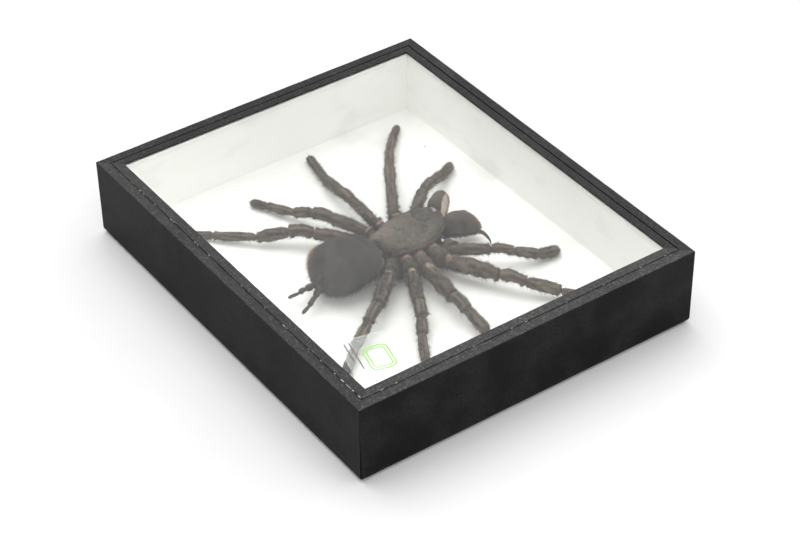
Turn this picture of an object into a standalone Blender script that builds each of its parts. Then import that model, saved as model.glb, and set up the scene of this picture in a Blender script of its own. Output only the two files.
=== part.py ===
"""A dried tarantula fixed in a small black box frame with a glass front.

Metres, +Z up. The origin is the middle of the frame's underside, where it rests.
+X runs along the frame's long side and +Y towards the spider's head. The specimen
has a frame of its own, on the mounting board under its waist, and is turned a
little in the box. Everything of the specimen is given in millimetres from there.
"""

import math

import bmesh
import bpy
import numpy as np
from mathutils import Matrix, Vector

MM = 0.001

# The box, a standard size for one spider.
FRAME_X = 180 * MM
FRAME_Y = 150 * MM
FRAME_Z = 34 * MM
WALL = 3.2 * MM
WALL_BELOW_STRIPS = 0.3 * MM
WALL_BOTTOM_ROUND = 2.4 * MM
EASED_EDGE = 0.4 * MM
MITRE_GAP = 0.1 * MM
SNUG_GAP = 0.1 * MM
CLEAR_GAP = 0.3 * MM

# What the box holds: base board, white mounting board, white liners, glass and the strips that keep it in.
BASE_BOARD = 2.6 * MM
MOUNTING_BOARD_TOP = 4.0 * MM
LINER_INSET = 7.2 * MM
STRIP_GROOVE = 0.4 * MM
STRIP_INSET = 8.1 * MM
STRIP = 0.7 * MM
GLASS = 2.0 * MM
LABEL_SIZE = (22 * MM, 18 * MM, 0.15 * MM)
LABEL_PLACE = (68 * MM, -55 * MM)
LABEL_TURN = math.radians(-13)

GLASS_TOP = FRAME_Z - STRIP - SNUG_GAP
GLASS_BOTTOM = GLASS_TOP - GLASS

# The specimen's own frame in the box.
SPECIMEN_PLACE = (-0.4 * MM, 0, MOUNTING_BOARD_TOP)
SPECIMEN_TURN = math.radians(4.5)

# Limbs in millimetres: where each joint is, from the body outwards to the tip, and how thick each
# segment is in its middle. The segments are coxa, femur, patella, tibia, metatarsus and tarsus, and a
# palp has no metatarsus.
LIMBS = {
    "leg_left_1": ([(-5.7, 14.5, 5.5), (-16.5, 16.5, 7), (-32.5, 28.5, 6), (-42, 35.5, 6), (-53, 44.5, 4.5),
                    (-62, 54, 2.5), (-67, 60.5, 1.9)], (4.2, 4.6, 4.8, 4.1, 3.6, 3.2)),
    "leg_left_2": ([(-5.9, 9, 5.3), (-17, 7.5, 7), (-33.8, 10, 6.5), (-42.4, 10.4, 6), (-54.2, 13, 4),
                    (-65, 16.5, 2.5), (-73.7, 19.1, 1.9)], (4.2, 4.6, 4.7, 4.6, 3.7, 3.5)),
    "leg_left_3": ([(-5.9, 3.5, 5.3), (-14, 0.7, 7.3), (-30, -2.8, 6.2), (-38, -6.6, 6.2), (-45.5, -10, 4),
                    (-57.5, -14.5, 2.5), (-64.5, -17.5, 1.9)], (4.2, 5.3, 4.9, 4.5, 3.6, 3.3)),
    "leg_left_4": ([(-5.2, -2, 5.5), (-12, -5.3, 7), (-27, -14.7, 6.7), (-34.5, -21.2, 6.2), (-42.5, -31, 4),
                    (-56, -42, 2.5), (-62.5, -47.5, 1.9)], (4.2, 5.2, 5.1, 4.9, 3.7, 3.3)),
    "leg_right_1": ([(5.7, 14.5, 5.5), (19.5, 12.7, 7), (39, 22.8, 6.5), (48.3, 27.8, 6), (59, 36, 4),
                     (71, 42.5, 2.5), (78.5, 46, 1.9)], (4.4, 6.4, 4.9, 5.0, 3.8, 3.4)),
    "leg_right_2": ([(5.9, 9, 5.3), (17.6, 4.4, 7), (37.5, 0.8, 6.5), (46.5, 0, 6), (58.5, -1, 4),
                     (70.5, -2, 2.5), (79, -3, 1.9)], (4.4, 6.4, 5.0, 4.9, 3.8, 3.4)),
    "leg_right_3": ([(5.9, 3.5, 5.3), (16.5, -2, 7.5), (31.2, -10.8, 6), (38.5, -15.5, 6), (44.5, -20.5, 4),
                     (55.5, -28, 2.5), (62, -32, 1.9)], (4.5, 5.6, 5.0, 4.6, 4.0, 3.5)),
    "leg_right_4": ([(5.2, -2, 5.5), (11.8, -8.1, 7.5), (22.9, -23.8, 6.5), (28, -32.5, 6), (33.8, -43.2, 3.7),
                     (44, -57.5, 2.5), (48.6, -64.5, 1.9)], (4.6, 6.4, 4.9, 4.6, 3.9, 3.5)),
    "palp_left": ([(-3.8, 20.6, 6.3), (-10.7, 22.6, 7.5), (-19.8, 34.5, 7.5), (-23.2, 41.6, 6.5), (-26.2, 49.9, 4.5),
                   (-32, 59.5, 2)], (3.6, 4.8, 4.3, 4.2, 3.9)),
    "palp_right": ([(3.8, 20.6, 6.3), (14.2, 18.3, 6), (26.3, 29.5, 8), (31.4, 36.4, 6.5), (36.5, 44.5, 4),
                    (38, 54.5, 2)], (3.6, 4.7, 3.9, 4.2, 4.4)),
}
JOINT_NARROWING = 0.78
SEGMENT_SWELL = 0.6
LIMB_STEPS = 4
LIMB_SIDES = 8
# How far back from the tip, in tip radii, and how thick there, as a share of the tip's radius.
ROUND_TIP = ((0.9, 0.95), (0.45, 0.75), (0.1, 0.4))
LIMB_FLATTENED = (0.95, 1.05)

# Pods in millimetres: along the pod, half its width, its top and its underside.
CARAPACE = [(-3.8, 0, 10.6, 10.2), (-3.2, 4.0, 12.0, 9.6), (-1, 6.9, 13.6, 9.3), (2.5, 8.8, 14.7, 9.1),
            (7, 10.2, 15.0, 9.0), (12, 10.6, 15.0, 9.0), (16, 10.0, 15.6, 9.0), (19, 8.8, 16.3, 9.1),
            (22, 7.2, 16.2, 9.3), (24.6, 5.4, 14.8, 9.8), (26, 3.0, 13.4, 10.6), (26.5, 0, 12.0, 12.0)]
CARAPACE_RIM = 9.6
STERNUM = [(-3, 0, 8, 8), (-2, 2.6, 10.2, 4.6), (1.5, 4.6, 10.4, 3.3), (7, 5.3, 10.4, 3.0), (12, 5.2, 10.4, 3.0),
           (16, 4.2, 10.4, 3.2), (19.5, 2.9, 10.4, 4.0), (22, 0, 8, 8)]
ABDOMEN = [(-34.7, 0, 10, 10), (-34.2, 4.6, 14.4, 5.6), (-32.6, 8.2, 17.8, 3.0), (-29.3, 10.8, 20.1, 1.2),
           (-25, 11.8, 21.1, 0.7), (-20, 11.4, 21.1, 1.6), (-15, 9.7, 20.0, 4.0), (-11, 7.6, 17.8, 5.2),
           (-8, 5.2, 14.8, 6.2), (-6.4, 2.6, 12.2, 7.8), (-6, 0, 10, 10)]
WAIST = (3.6, -10.5, -4.4, 7.6)
SPINNERETS = {"left": [(-1.6, -32, 6.5), (-1.9, -34.8, 6.4), (-2.7, -37.8, 5.9), (-3.2, -40.6, 5.1), (-5, -44.4, 3.7)],
              "right": [(1.4, -32, 6.5), (1.5, -35, 6.4), (3, -37.6, 5.7), (4.8, -42, 4.6), (5.6, -46, 3.5)]}
SPINNERET_THICKNESS = (2.6, 2.5, 2.3, 1.6, 0.9)

# A chelicera is one half of the jaws, with its hinge at the local origin and its length along +Y. Its place is
# the hinge's position, how far it tips up and how far it turns to the left, in degrees.
CHELICERA = [(0, 0, 0, 0), (0.4, 2.2, 3.2, -3.4), (2, 3.1, 4.0, -4.3), (5, 3.5, 4.5, -4.7), (8, 3.5, 4.2, -4.7),
             (10.5, 3.1, 3.0, -4.6), (12.4, 2.2, 0.8, -4.3), (13.4, 0, -2.4, -2.4)]
CHELICERA_INNER_FACE = 0.62
JAW_PLACES = {"left": (-4.4, 26.6, 8.9, 0, 26), "right": (3.4, 26.7, 8, -3, -26)}
# The right fang is spread and the left one is folded back under its jaw. Here +X points away from the middle.
FANG_PATHS = {"left": [(0.6, 14.4, -3.2), (0.9, 14.3, -4.4), (1.4, 12.8, -5.8), (1.6, 9.6, -6.1), (1.7, 6.2, -5.9)],
              "right": [(1.4, 14.1, -3.9), (2.6, 14.5, -4.1), (4.7, 15.3, -4.5), (7.0, 15.8, -5.2), (8.8, 16.1, -7.0)]}
FANG_THICKNESS = (1.8, 1.8, 1.6, 1.2, 0.4)

BLACK_PAINT = ("black_paint", (0.018, 0.018, 0.019, 1), 0.45)
WHITE_CARD = ("white_card", (0.86, 0.86, 0.84, 1), 0.8)
BOARD = ("base_board", (0.16, 0.11, 0.07, 1), 0.8)
PANE = ("pane_glass", (0.9, 0.95, 0.93, 0.3), 0.03)
FILM = ("label_film", (0.92, 0.93, 0.92, 0.5), 0.3)
CHITIN = ("dark_chitin", (0.035, 0.028, 0.024, 1), 0.55)
SHELL = ("carapace_brown", (0.07, 0.056, 0.045, 1), 0.5)
VELVET = ("abdomen_velvet", (0.028, 0.026, 0.027, 1), 0.8)
HORN = ("fang_horn", (0.008, 0.007, 0.007, 1), 0.2)


# ---------------------------------------------------------------- scene and materials
def clear_scene():
    for obj in list(bpy.data.objects):
        bpy.data.objects.remove(obj, do_unlink=True)


def new_collection(name):
    collection = bpy.data.collections.new(name)
    bpy.context.scene.collection.children.link(collection)
    return collection


def material(recipe):
    name, colour, roughness = recipe
    found = bpy.data.materials.get(name) or bpy.data.materials.new(name)
    found.use_nodes = True
    shader = found.node_tree.nodes["Principled BSDF"]
    shader.inputs["Base Color"].default_value = colour
    shader.inputs["Roughness"].default_value = roughness
    shader.inputs["Metallic"].default_value = 0
    shader.inputs["Alpha"].default_value = colour[3]
    found.diffuse_color = colour
    return found


def add_part(name, data, recipe, parent=None):
    obj = bpy.data.objects.new(name, data)
    PARTS.objects.link(obj)
    obj.data.materials.append(material(recipe))
    obj.parent = parent
    return obj


def mesh_from(bm, name):
    mesh = bpy.data.meshes.new(name)
    bm.to_mesh(mesh)
    bm.free()
    return mesh


def shade_round(mesh, degrees=35):
    mesh.shade_smooth()
    mesh.set_sharp_from_angle(angle=math.radians(degrees))


# ---------------------------------------------------------------- the box
def block(lowest, highest):
    """A bmesh box between two corners."""
    bm = bmesh.new()
    bmesh.ops.create_cube(bm, size=1)
    size = Vector(highest) - Vector(lowest)
    middle = (Vector(highest) + Vector(lowest)) / 2
    bmesh.ops.transform(bm, matrix=Matrix.Translation(middle) @ Matrix.Diagonal((*size, 1)), verts=bm.verts)
    return bm


def ease(bm, chosen, width, segments):
    edges = [edge for edge in bm.edges if chosen(edge)]
    bmesh.ops.bevel(bm, geom=edges, offset=width, segments=segments, profile=0.5, affect="EDGES", material=-1)


def flat_at(edge, height):
    return all(abs(vert.co.z - height) < 1e-6 for vert in edge.verts)


def runs_along(edge):
    return abs(edge.verts[0].co.x - edge.verts[1].co.x) > WALL


def box_part(name, lowest, highest, recipe, eased_top=0.0):
    bm = block(lowest, highest)
    if eased_top:
        ease(bm, lambda edge: flat_at(edge, highest[2]), eased_top, 1)
    return add_part(name, mesh_from(bm, name), recipe)


def build_walls():
    """Each wall is one mitred bar: rounded underneath, and eased along both top edges."""
    top = FRAME_Z - WALL_BELOW_STRIPS
    sides = {"wall_front": (FRAME_X, FRAME_Y, 0), "wall_right": (FRAME_Y, FRAME_X, 90),
             "wall_back": (FRAME_X, FRAME_Y, 180), "wall_left": (FRAME_Y, FRAME_X, 270)}
    for name, (length, across, degrees) in sides.items():
        bm = block((-length / 2, 0, 0), (length / 2, WALL, top))
        ease(bm, lambda edge: runs_along(edge) and flat_at(edge, 0) and edge.verts[0].co.y < WALL / 2,
             WALL_BOTTOM_ROUND, 3)
        ease(bm, lambda edge: runs_along(edge) and flat_at(edge, top), EASED_EDGE, 1)
        for vert in bm.verts:
            vert.co.x = math.copysign(length / 2 - MITRE_GAP / 2 - vert.co.y, vert.co.x)
        turn = Matrix.Rotation(math.radians(degrees), 4, "Z")
        bmesh.ops.transform(bm, matrix=turn @ Matrix.Translation((0, -across / 2, 0)), verts=bm.verts)
        add_part(name, mesh_from(bm, name), BLACK_PAINT)


def build_boards():
    inside_x, inside_y = FRAME_X / 2 - WALL - CLEAR_GAP, FRAME_Y / 2 - WALL - CLEAR_GAP
    box_part("base_board", (-inside_x, -inside_y, 0), (inside_x, inside_y, BASE_BOARD), BOARD)
    box_part("mounting_board", (-inside_x, -inside_y, BASE_BOARD + CLEAR_GAP),
             (inside_x, inside_y, MOUNTING_BOARD_TOP), WHITE_CARD)


def build_liners():
    """Long liners run the whole way, and short ones stand between them."""
    outside_x, outside_y = FRAME_X / 2 - WALL - CLEAR_GAP, FRAME_Y / 2 - WALL - CLEAR_GAP
    room_x, room_y = FRAME_X / 2 - LINER_INSET, FRAME_Y / 2 - LINER_INSET
    low, high = MOUNTING_BOARD_TOP + SNUG_GAP, GLASS_BOTTOM - SNUG_GAP
    box_part("liner_front", (-outside_x, -outside_y, low), (outside_x, -room_y, high), WHITE_CARD)
    box_part("liner_back", (-outside_x, room_y, low), (outside_x, outside_y, high), WHITE_CARD)
    end = room_y - SNUG_GAP
    box_part("liner_left", (-outside_x, -end, low), (-room_x, end, high), WHITE_CARD)
    box_part("liner_right", (room_x, -end, low), (outside_x, end, high), WHITE_CARD)


def build_glass():
    pane_x, pane_y = FRAME_X / 2 - WALL - STRIP_GROOVE, FRAME_Y / 2 - WALL - STRIP_GROOVE
    box_part("glass_pane", (-pane_x, -pane_y, GLASS_BOTTOM), (pane_x, pane_y, GLASS_TOP), PANE)


def build_strips():
    """Short strips run the whole way over the glass, and long ones butt between them."""
    outside_x, outside_y = FRAME_X / 2 - WALL - STRIP_GROOVE, FRAME_Y / 2 - WALL - STRIP_GROOVE
    room_x, room_y = FRAME_X / 2 - STRIP_INSET, FRAME_Y / 2 - STRIP_INSET
    low, high = FRAME_Z - STRIP, FRAME_Z
    eased = EASED_EDGE / 2
    box_part("strip_left", (-outside_x, -outside_y, low), (-room_x, outside_y, high), BLACK_PAINT, eased)
    box_part("strip_right", (room_x, -outside_y, low), (outside_x, outside_y, high), BLACK_PAINT, eased)
    end = room_x - SNUG_GAP
    box_part("strip_front", (-end, -outside_y, low), (end, -room_y, high), BLACK_PAINT, eased)
    box_part("strip_back", (-end, room_y, low), (end, outside_y, high), BLACK_PAINT, eased)


def build_label():
    """A clear sticker on the glass, laid a little askew near a corner."""
    half_x, half_y, thickness = LABEL_SIZE[0] / 2, LABEL_SIZE[1] / 2, LABEL_SIZE[2]
    label = box_part("label_film", (-half_x, -half_y, 0), (half_x, half_y, thickness), FILM)
    label.location = (*LABEL_PLACE, GLASS_TOP + SNUG_GAP / 2)
    label.rotation_euler.z = LABEL_TURN


# ---------------------------------------------------------------- the specimen
def place_specimen():
    empty = bpy.data.objects.new("specimen", None)
    PARTS.objects.link(empty)
    empty.location = SPECIMEN_PLACE
    empty.rotation_euler.z = SPECIMEN_TURN
    return empty


def limb_points(joints, thickness):
    """Points and radii down a limb, which narrows at each joint and ends in a round tip."""
    points, radii = [], []
    for index, thick in enumerate(thickness):
        start, end = Vector(joints[index]), Vector(joints[index + 1])
        for step in range(LIMB_STEPS):
            along = step / LIMB_STEPS
            bulge = math.sin(math.pi * along) ** SEGMENT_SWELL
            before = thickness[max(index - 1, 0)]
            narrow = JOINT_NARROWING * (min(before, thick) if index else thick)
            points.append(start.lerp(end, along))
            radii.append((narrow + (thick - narrow) * bulge) / 2)
    tip, last = Vector(joints[-1]), thickness[-1] / 2
    inwards = (Vector(joints[-2]) - tip).normalized()
    for back, share in ROUND_TIP:
        points.append(tip + inwards * back * last)
        radii.append(last * share)
    return points, radii


def swept_curve(name, points, radii, profile=None):
    """A tube along points in millimetres, as thick at each as its radius says."""
    data = bpy.data.curves.new(name, "CURVE")
    data.dimensions = "3D"
    data.twist_mode = "Z_UP"
    data.use_fill_caps = True
    if profile:
        data.bevel_mode = "OBJECT"
        data.bevel_object = profile
    else:
        data.bevel_depth = MM
        data.bevel_resolution = 2
    spline = data.splines.new("POLY")
    spline.points.add(len(points) - 1)
    for knot, point, radius in zip(spline.points, points, radii):
        knot.co = (*(point * MM), 1)
        knot.radius = radius
    return data


def limb_profile():
    """The section of a limb: an oval, a little taller than it is wide."""
    data = bpy.data.curves.new("limb_profile", "CURVE")
    data.dimensions = "2D"
    spline = data.splines.new("POLY")
    spline.points.add(LIMB_SIDES - 1)
    spline.use_cyclic_u = True
    wide, tall = LIMB_FLATTENED
    for index, knot in enumerate(spline.points):
        turn = -2 * math.pi * index / LIMB_SIDES
        knot.co = (math.cos(turn) * wide * MM, math.sin(turn) * tall * MM, 0, 1)
    guide = bpy.data.objects.new("limb_profile", data)
    CUTTERS.objects.link(guide)
    return guide


def build_limbs(specimen):
    profile = limb_profile()
    for name, (joints, thickness) in LIMBS.items():
        points, radii = limb_points(joints, thickness)
        add_part(name, swept_curve(name, points, radii, profile), CHITIN, specimen)


def smooth_row(stations, y):
    """The station's values at y, on a smooth curve through the stations given."""
    table = np.array(stations, float)
    places = table[:, 0]
    index = int(np.clip(np.searchsorted(places, y) - 1, 0, len(places) - 2))
    share = (y - places[index]) / (places[index + 1] - places[index])
    slopes = np.gradient(table[:, 1:], places, axis=0)
    gap = places[index + 1] - places[index]
    here, there = table[index, 1:], table[index + 1, 1:]
    s2, s3 = share**2, share**3
    return ((2 * s3 - 3 * s2 + 1) * here + (s3 - 2 * s2 + share) * gap * slopes[index]
            + (3 * s2 - 2 * s3) * there + (s3 - s2) * gap * slopes[index + 1])


def pod_mesh(name, stations, around=24, rings=14, rim=None, inner_face=None):
    """A sphere with its poles along Y, reshaped to the stations' half widths, tops and undersides.

    With rim, the widest line lies at that height. With inner_face, the side at -X is cut flat at that
    share of the half width.
    """
    bm = bmesh.new()
    bmesh.ops.create_uvsphere(bm, u_segments=around, v_segments=rings, radius=1)
    bmesh.ops.rotate(bm, matrix=Matrix.Rotation(math.radians(90), 3, "X"), verts=bm.verts)
    first, last = stations[0][0], stations[-1][0]
    for vert in bm.verts:
        share = (1 + vert.co.y) / 2
        y = first + (last - first) * share
        ring = math.hypot(vert.co.x, vert.co.z)
        if ring < 1e-6:
            end = stations[0] if share < 0.5 else stations[-1]
            vert.co = Vector((0, end[0], (end[2] + end[3]) / 2)) * MM
            continue
        half, top, bottom = smooth_row(stations, y)
        across, up = vert.co.x / ring, vert.co.z / ring
        middle = (top + bottom) / 2 if rim is None else min(max(rim, bottom), top)
        x = max(half, 0.05) * across
        if inner_face is not None:
            x = max(x, -half * inner_face)
        z = middle + (top - middle) * up if up > 0 else middle + (middle - bottom) * up
        vert.co = Vector((x, y, z)) * MM
    bmesh.ops.recalc_face_normals(bm, faces=bm.faces)
    mesh = mesh_from(bm, name)
    shade_round(mesh)
    return mesh


def fuse(target, helper_data, name, specimen):
    """Joins a helper solid to the target, which it grows from."""
    helper = bpy.data.objects.new(name, helper_data)
    CUTTERS.objects.link(helper)
    helper.parent = specimen
    join = target.modifiers.new(name, "BOOLEAN")
    join.operation = "UNION"
    join.object = helper


def curve_as_mesh(name, data):
    """The tube's mesh with its caps welded, which a Boolean needs."""
    obj = bpy.data.objects.new(name, data)
    CUTTERS.objects.link(obj)
    graph = bpy.context.evaluated_depsgraph_get()
    mesh = bpy.data.meshes.new_from_object(obj.evaluated_get(graph))
    bpy.data.objects.remove(obj)
    bm = bmesh.new()
    bm.from_mesh(mesh)
    bpy.data.meshes.remove(mesh)
    bmesh.ops.remove_doubles(bm, verts=bm.verts, dist=1e-6)
    bmesh.ops.recalc_face_normals(bm, faces=bm.faces)
    return mesh_from(bm, name)


def waist_mesh():
    thickness, back, front, height = (value * MM for value in WAIST)
    bm = bmesh.new()
    turn = Matrix.Rotation(math.radians(90), 4, "X")
    place = Matrix.Translation((0, (back + front) / 2, height))
    bmesh.ops.create_cone(bm, cap_ends=True, segments=12, radius1=thickness / 2, radius2=thickness / 2,
                          depth=front - back, matrix=place @ turn)
    return mesh_from(bm, "waist")


def build_body(specimen):
    carapace = add_part("carapace", pod_mesh("carapace", CARAPACE, 28, 18, rim=CARAPACE_RIM), SHELL, specimen)
    fuse(carapace, pod_mesh("sternum", STERNUM, 16, 10), "sternum", specimen)

    abdomen = add_part("abdomen", pod_mesh("abdomen", ABDOMEN, 28, 18), VELVET, specimen)
    fuse(abdomen, waist_mesh(), "waist", specimen)
    for side, path in SPINNERETS.items():
        radii = [thick / 2 for thick in SPINNERET_THICKNESS]
        data = swept_curve(f"spinneret_{side}", [Vector(point) for point in path], radii)
        fuse(abdomen, curve_as_mesh(f"spinneret_{side}", data), f"spinneret_{side}", specimen)


def build_jaws(specimen):
    """Each jaw and its fang share a hinge, which sets how far the jaw dips and how far it is spread."""
    for side, (x, y, z, dip, spread) in JAW_PLACES.items():
        hinge = bpy.data.objects.new(f"jaw_hinge_{side}", None)
        PARTS.objects.link(hinge)
        hinge.parent = specimen
        hinge.location = Vector((x, y, z)) * MM
        hinge.rotation_euler = (math.radians(dip), 0, math.radians(spread))
        outwards = 1 if side == "right" else -1
        mesh = pod_mesh(f"chelicera_{side}", CHELICERA, 20, 12, inner_face=CHELICERA_INNER_FACE)
        if outwards < 0:
            mesh.transform(Matrix.Diagonal((-1, 1, 1, 1)))
            mesh.flip_normals()
        add_part(f"chelicera_{side}", mesh, CHITIN, hinge)
        path = [Vector((a * outwards, b, c)) for a, b, c in FANG_PATHS[side]]
        radii = [thick / 2 for thick in FANG_THICKNESS]
        add_part(f"fang_{side}", swept_curve(f"fang_{side}", path, radii), HORN, hinge)


clear_scene()
PARTS = new_collection("framed_tarantula")
CUTTERS = new_collection("cutters")
build_walls()
build_boards()
build_liners()
build_glass()
build_strips()
build_label()
SPECIMEN = place_specimen()
build_limbs(SPECIMEN)
build_body(SPECIMEN)
build_jaws(SPECIMEN)
for cutter in CUTTERS.objects:
    cutter.hide_render = True
    cutter.display_type = "WIRE"
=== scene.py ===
# %% [markdown]
# A large dried spider in a shallow black box frame, seen through its glass.
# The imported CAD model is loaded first. It fixes every size and place, and this file only
# dresses it: new pieces stand where the solids are, and each piece gets its finish.
# All lengths in the tables are in millimetres, because that is how such a frame is made.

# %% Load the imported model
import math

import bmesh
import bpy
import numpy as np
from mathutils import Matrix, Vector, noise


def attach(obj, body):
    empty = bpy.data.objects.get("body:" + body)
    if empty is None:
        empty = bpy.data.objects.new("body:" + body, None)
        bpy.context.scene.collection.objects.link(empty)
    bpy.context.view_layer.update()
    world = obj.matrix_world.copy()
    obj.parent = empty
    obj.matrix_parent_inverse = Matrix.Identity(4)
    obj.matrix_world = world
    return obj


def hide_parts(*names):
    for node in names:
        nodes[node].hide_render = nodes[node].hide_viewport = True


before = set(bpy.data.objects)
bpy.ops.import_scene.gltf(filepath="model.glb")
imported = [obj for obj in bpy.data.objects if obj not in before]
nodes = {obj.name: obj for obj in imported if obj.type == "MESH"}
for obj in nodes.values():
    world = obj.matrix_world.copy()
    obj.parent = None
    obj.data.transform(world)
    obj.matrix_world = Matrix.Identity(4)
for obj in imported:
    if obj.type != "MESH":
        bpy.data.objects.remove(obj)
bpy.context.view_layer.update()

MM = 0.001
scene = bpy.context.scene
print("CAD nodes:", len(nodes))

# %% [markdown]
# The camera looks down at the frame from its near corner with a long lens, so the sides
# hardly converge. Its three directions were solved from the corners of the frame: right,
# down and forward. The small roll is part of them.

# %% Place the camera
CAMERA_PLACE = Vector((0.593182, -0.406254, 0.567032))
RIGHT = Vector((0.57793, 0.81599, -0.01232))
DOWN = Vector((0.49747, -0.36423, -0.78731))
FORWARD = Vector((-0.64692, 0.44888, -0.61644))

camera_data = bpy.data.cameras.new("camera")
camera_data.lens = 106.688
camera_data.sensor_width = 36.0
camera_data.clip_start = 0.01
camera_data.clip_end = 20.0
camera = bpy.data.objects.new("camera", camera_data)
scene.collection.objects.link(camera)
turn = Matrix((RIGHT, -DOWN, -FORWARD)).transposed().to_4x4()
camera.matrix_world = Matrix.Translation(CAMERA_PLACE) @ turn
scene.camera = camera
print("camera at", [round(v, 3) for v in CAMERA_PLACE])

# %% [markdown]
# Light and surfaces are both small trees of nodes. These helpers keep each tree short: one
# adds a node, one joins two sockets, and one carries a value from one range to another. A
# finish adds the noise that nearly every natural surface needs, and its patterns read
# object coordinates, so they stay put.

# %% Helpers for trees of nodes
RANGE_SOCKETS = ("From Min", "From Max", "To Min", "To Max")


def tone(red, green, blue):
    return (red, green, blue, 1.0)


class Nodes:
    """A tree of nodes and the short ways to add to it."""

    def __init__(self, tree):
        self.tree = tree

    def node(self, kind, **fields):
        made = self.tree.nodes.new("ShaderNode" + kind)
        for key, value in fields.items():
            setattr(made, key, value)
        return made

    def wire(self, source, target):
        """Joins a socket, or sets a plain value."""
        if isinstance(source, bpy.types.NodeSocket):
            self.tree.links.new(source, target)
        else:
            target.default_value = source

    def ramp(self, source, start, end, low=0.0, high=1.0, kind="LINEAR"):
        """Carries a value from start..end to low..high."""
        made = self.node("MapRange", interpolation_type=kind)
        self.wire(source, made.inputs["Value"])
        for key, value in zip(RANGE_SOCKETS, (start, end, low, high)):
            self.wire(value, made.inputs[key])
        return made.outputs["Result"]

    def maths(self, operation, a, b):
        made = self.node("Math", operation=operation)
        self.wire(a, made.inputs[0])
        self.wire(b, made.inputs[1])
        return made.outputs[0]

    def add(self, a, b):
        return self.maths("ADD", a, b)

    def times(self, a, b):
        return self.maths("MULTIPLY", a, b)


# %% Helper for finishes


class Finish(Nodes):
    """A material with the ways to pattern it."""

    def __init__(self, name, **sockets):
        self.material = bpy.data.materials.new(name)
        self.material.use_nodes = True
        super().__init__(self.material.node_tree)
        self.shader = self.tree.nodes["Principled BSDF"]
        for key, value in sockets.items():
            self.set(key.replace("_", " "), value)

    def set(self, socket, source):
        self.wire(source, self.shader.inputs[socket])

    def place(self, stretch=(1, 1, 1), turn=0.0):
        """Object coordinates, stretched or turned."""
        mapped = self.node("Mapping")
        self.wire(stretch, mapped.inputs["Scale"])
        self.wire((0, 0, turn), mapped.inputs["Rotation"])
        self.wire(self.node("TexCoord").outputs["Object"], mapped.inputs["Vector"])
        return mapped.outputs["Vector"]

    def noise(self, grain_mm, where=None, detail=3.0, rough=0.55):
        """Noise from 0 to 1 with patches about grain_mm wide."""
        made = self.node("TexNoise")
        self.wire(1.0 / (grain_mm * MM), made.inputs["Scale"])
        self.wire(detail, made.inputs["Detail"])
        self.wire(rough, made.inputs["Roughness"])
        self.wire(where or self.place(), made.inputs["Vector"])
        return self.ramp(made.outputs["Fac"], 0.3, 0.7)

    def attribute(self, name):
        return self.node("Attribute", attribute_name=name).outputs["Fac"]

    def blend(self, amount, first, second):
        """A colour between two colours."""
        made = self.node("Mix", data_type="RGBA")
        for key, source in (("Factor", amount), ("A", first), ("B", second)):
            self.wire(source, made.inputs[key])
        return made.outputs["Result"]

    def mottle(self, grain_mm, first, second, detail=3.0):
        """Colours the surface in patches between two tones."""
        self.set("Base Color", self.blend(self.noise(grain_mm, detail=detail), tone(*first), tone(*second)))
        return self

    def bump(self, height, depth_mm, strength):
        made = self.node("Bump")
        self.wire(strength, made.inputs["Strength"])
        self.wire(depth_mm * MM, made.inputs["Distance"])
        self.wire(height, made.inputs["Height"])
        self.set("Normal", made.outputs["Normal"])


# %% [markdown]
# The light is a white studio: bright all round, with one big soft box overhead and a
# little more light from the right and the back. It is painted into the world and not made
# of lamps, for the glass keeps a lamp's direct light from the white card below it, while
# light from a wide soft sky gets in with little noise. The white that the glass mirrors
# comes from the same sky. Filter glossy is turned off, because it blurs the pane for light
# that has already met the card, and so traps it.

# %% Light the studio
UP = Vector((0.0, 0.0, 1.0))
OVERHEAD = Vector((-0.414, -0.054, 1.0)).normalized()
TILT = Vector((0.427, 0.462, 0.0))
SOFTBOX_GLOW = 2.78

scene.world = bpy.data.worlds.new("studio")
scene.world.use_nodes = True
sky = Nodes(scene.world.node_tree)
sky.tree.nodes.clear()
ray = sky.node("TexCoord").outputs["Generated"]


def towards(direction):
    """How far each direction of the sky points along the given one."""
    near = sky.node("VectorMath", operation="DOT_PRODUCT")
    sky.wire(ray, near.inputs[0])
    sky.wire(direction, near.inputs[1])
    return near.outputs["Value"]


room = sky.ramp(towards(UP), 0.0, 0.62, 0.83, 0.93, "SMOOTHSTEP")
tilted = sky.times(room, sky.add(towards(TILT), 1.0))
softbox = sky.ramp(towards(OVERHEAD), 0.778, 0.968, 0.0, SOFTBOX_GLOW, "SMOOTHSTEP")
glow = sky.node("Background")
sky.wire(tone(1.0, 1.0, 1.0), glow.inputs["Color"])
sky.wire(sky.add(tilted, softbox), glow.inputs["Strength"])
sky.wire(glow.outputs[0], sky.node("OutputWorld").inputs[0])
scene.view_settings.view_transform = "Standard"
scene.cycles.blur_glossy = 0.0
scene.cycles.diffuse_bounces = 8

# %% [markdown]
# The floor is a sheet of white paper that runs far past the picture. It isn't part of the
# object, so it isn't attached to its body.

# %% Lay the floor
paper = Finish("studio_paper", Roughness=0.85, Specular_IOR_Level=0.2)
paper.mottle(60.0, (0.715, 0.715, 0.722), (0.730, 0.730, 0.738))
sheet = bmesh.new()
bmesh.ops.create_grid(sheet, x_segments=1, y_segments=1, size=6.0)
floor_mesh = bpy.data.meshes.new("floor")
sheet.to_mesh(floor_mesh)
sheet.free()
floor = bpy.data.objects.new("floor", floor_mesh)
floor_mesh.materials.append(paper.material)
scene.collection.objects.link(floor)

# %% [markdown]
# Solids that only need a finish keep their mesh.

# %% Helpers that finish a piece


def piece_from(name, shape, finish, stands_for=(), smooth=False):
    """Turns a bmesh in metres into a finished piece of the object."""
    mesh = bpy.data.meshes.new(name)
    shape.to_mesh(mesh)
    shape.free()
    return piece_of(name, mesh, finish, stands_for, smooth)


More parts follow.
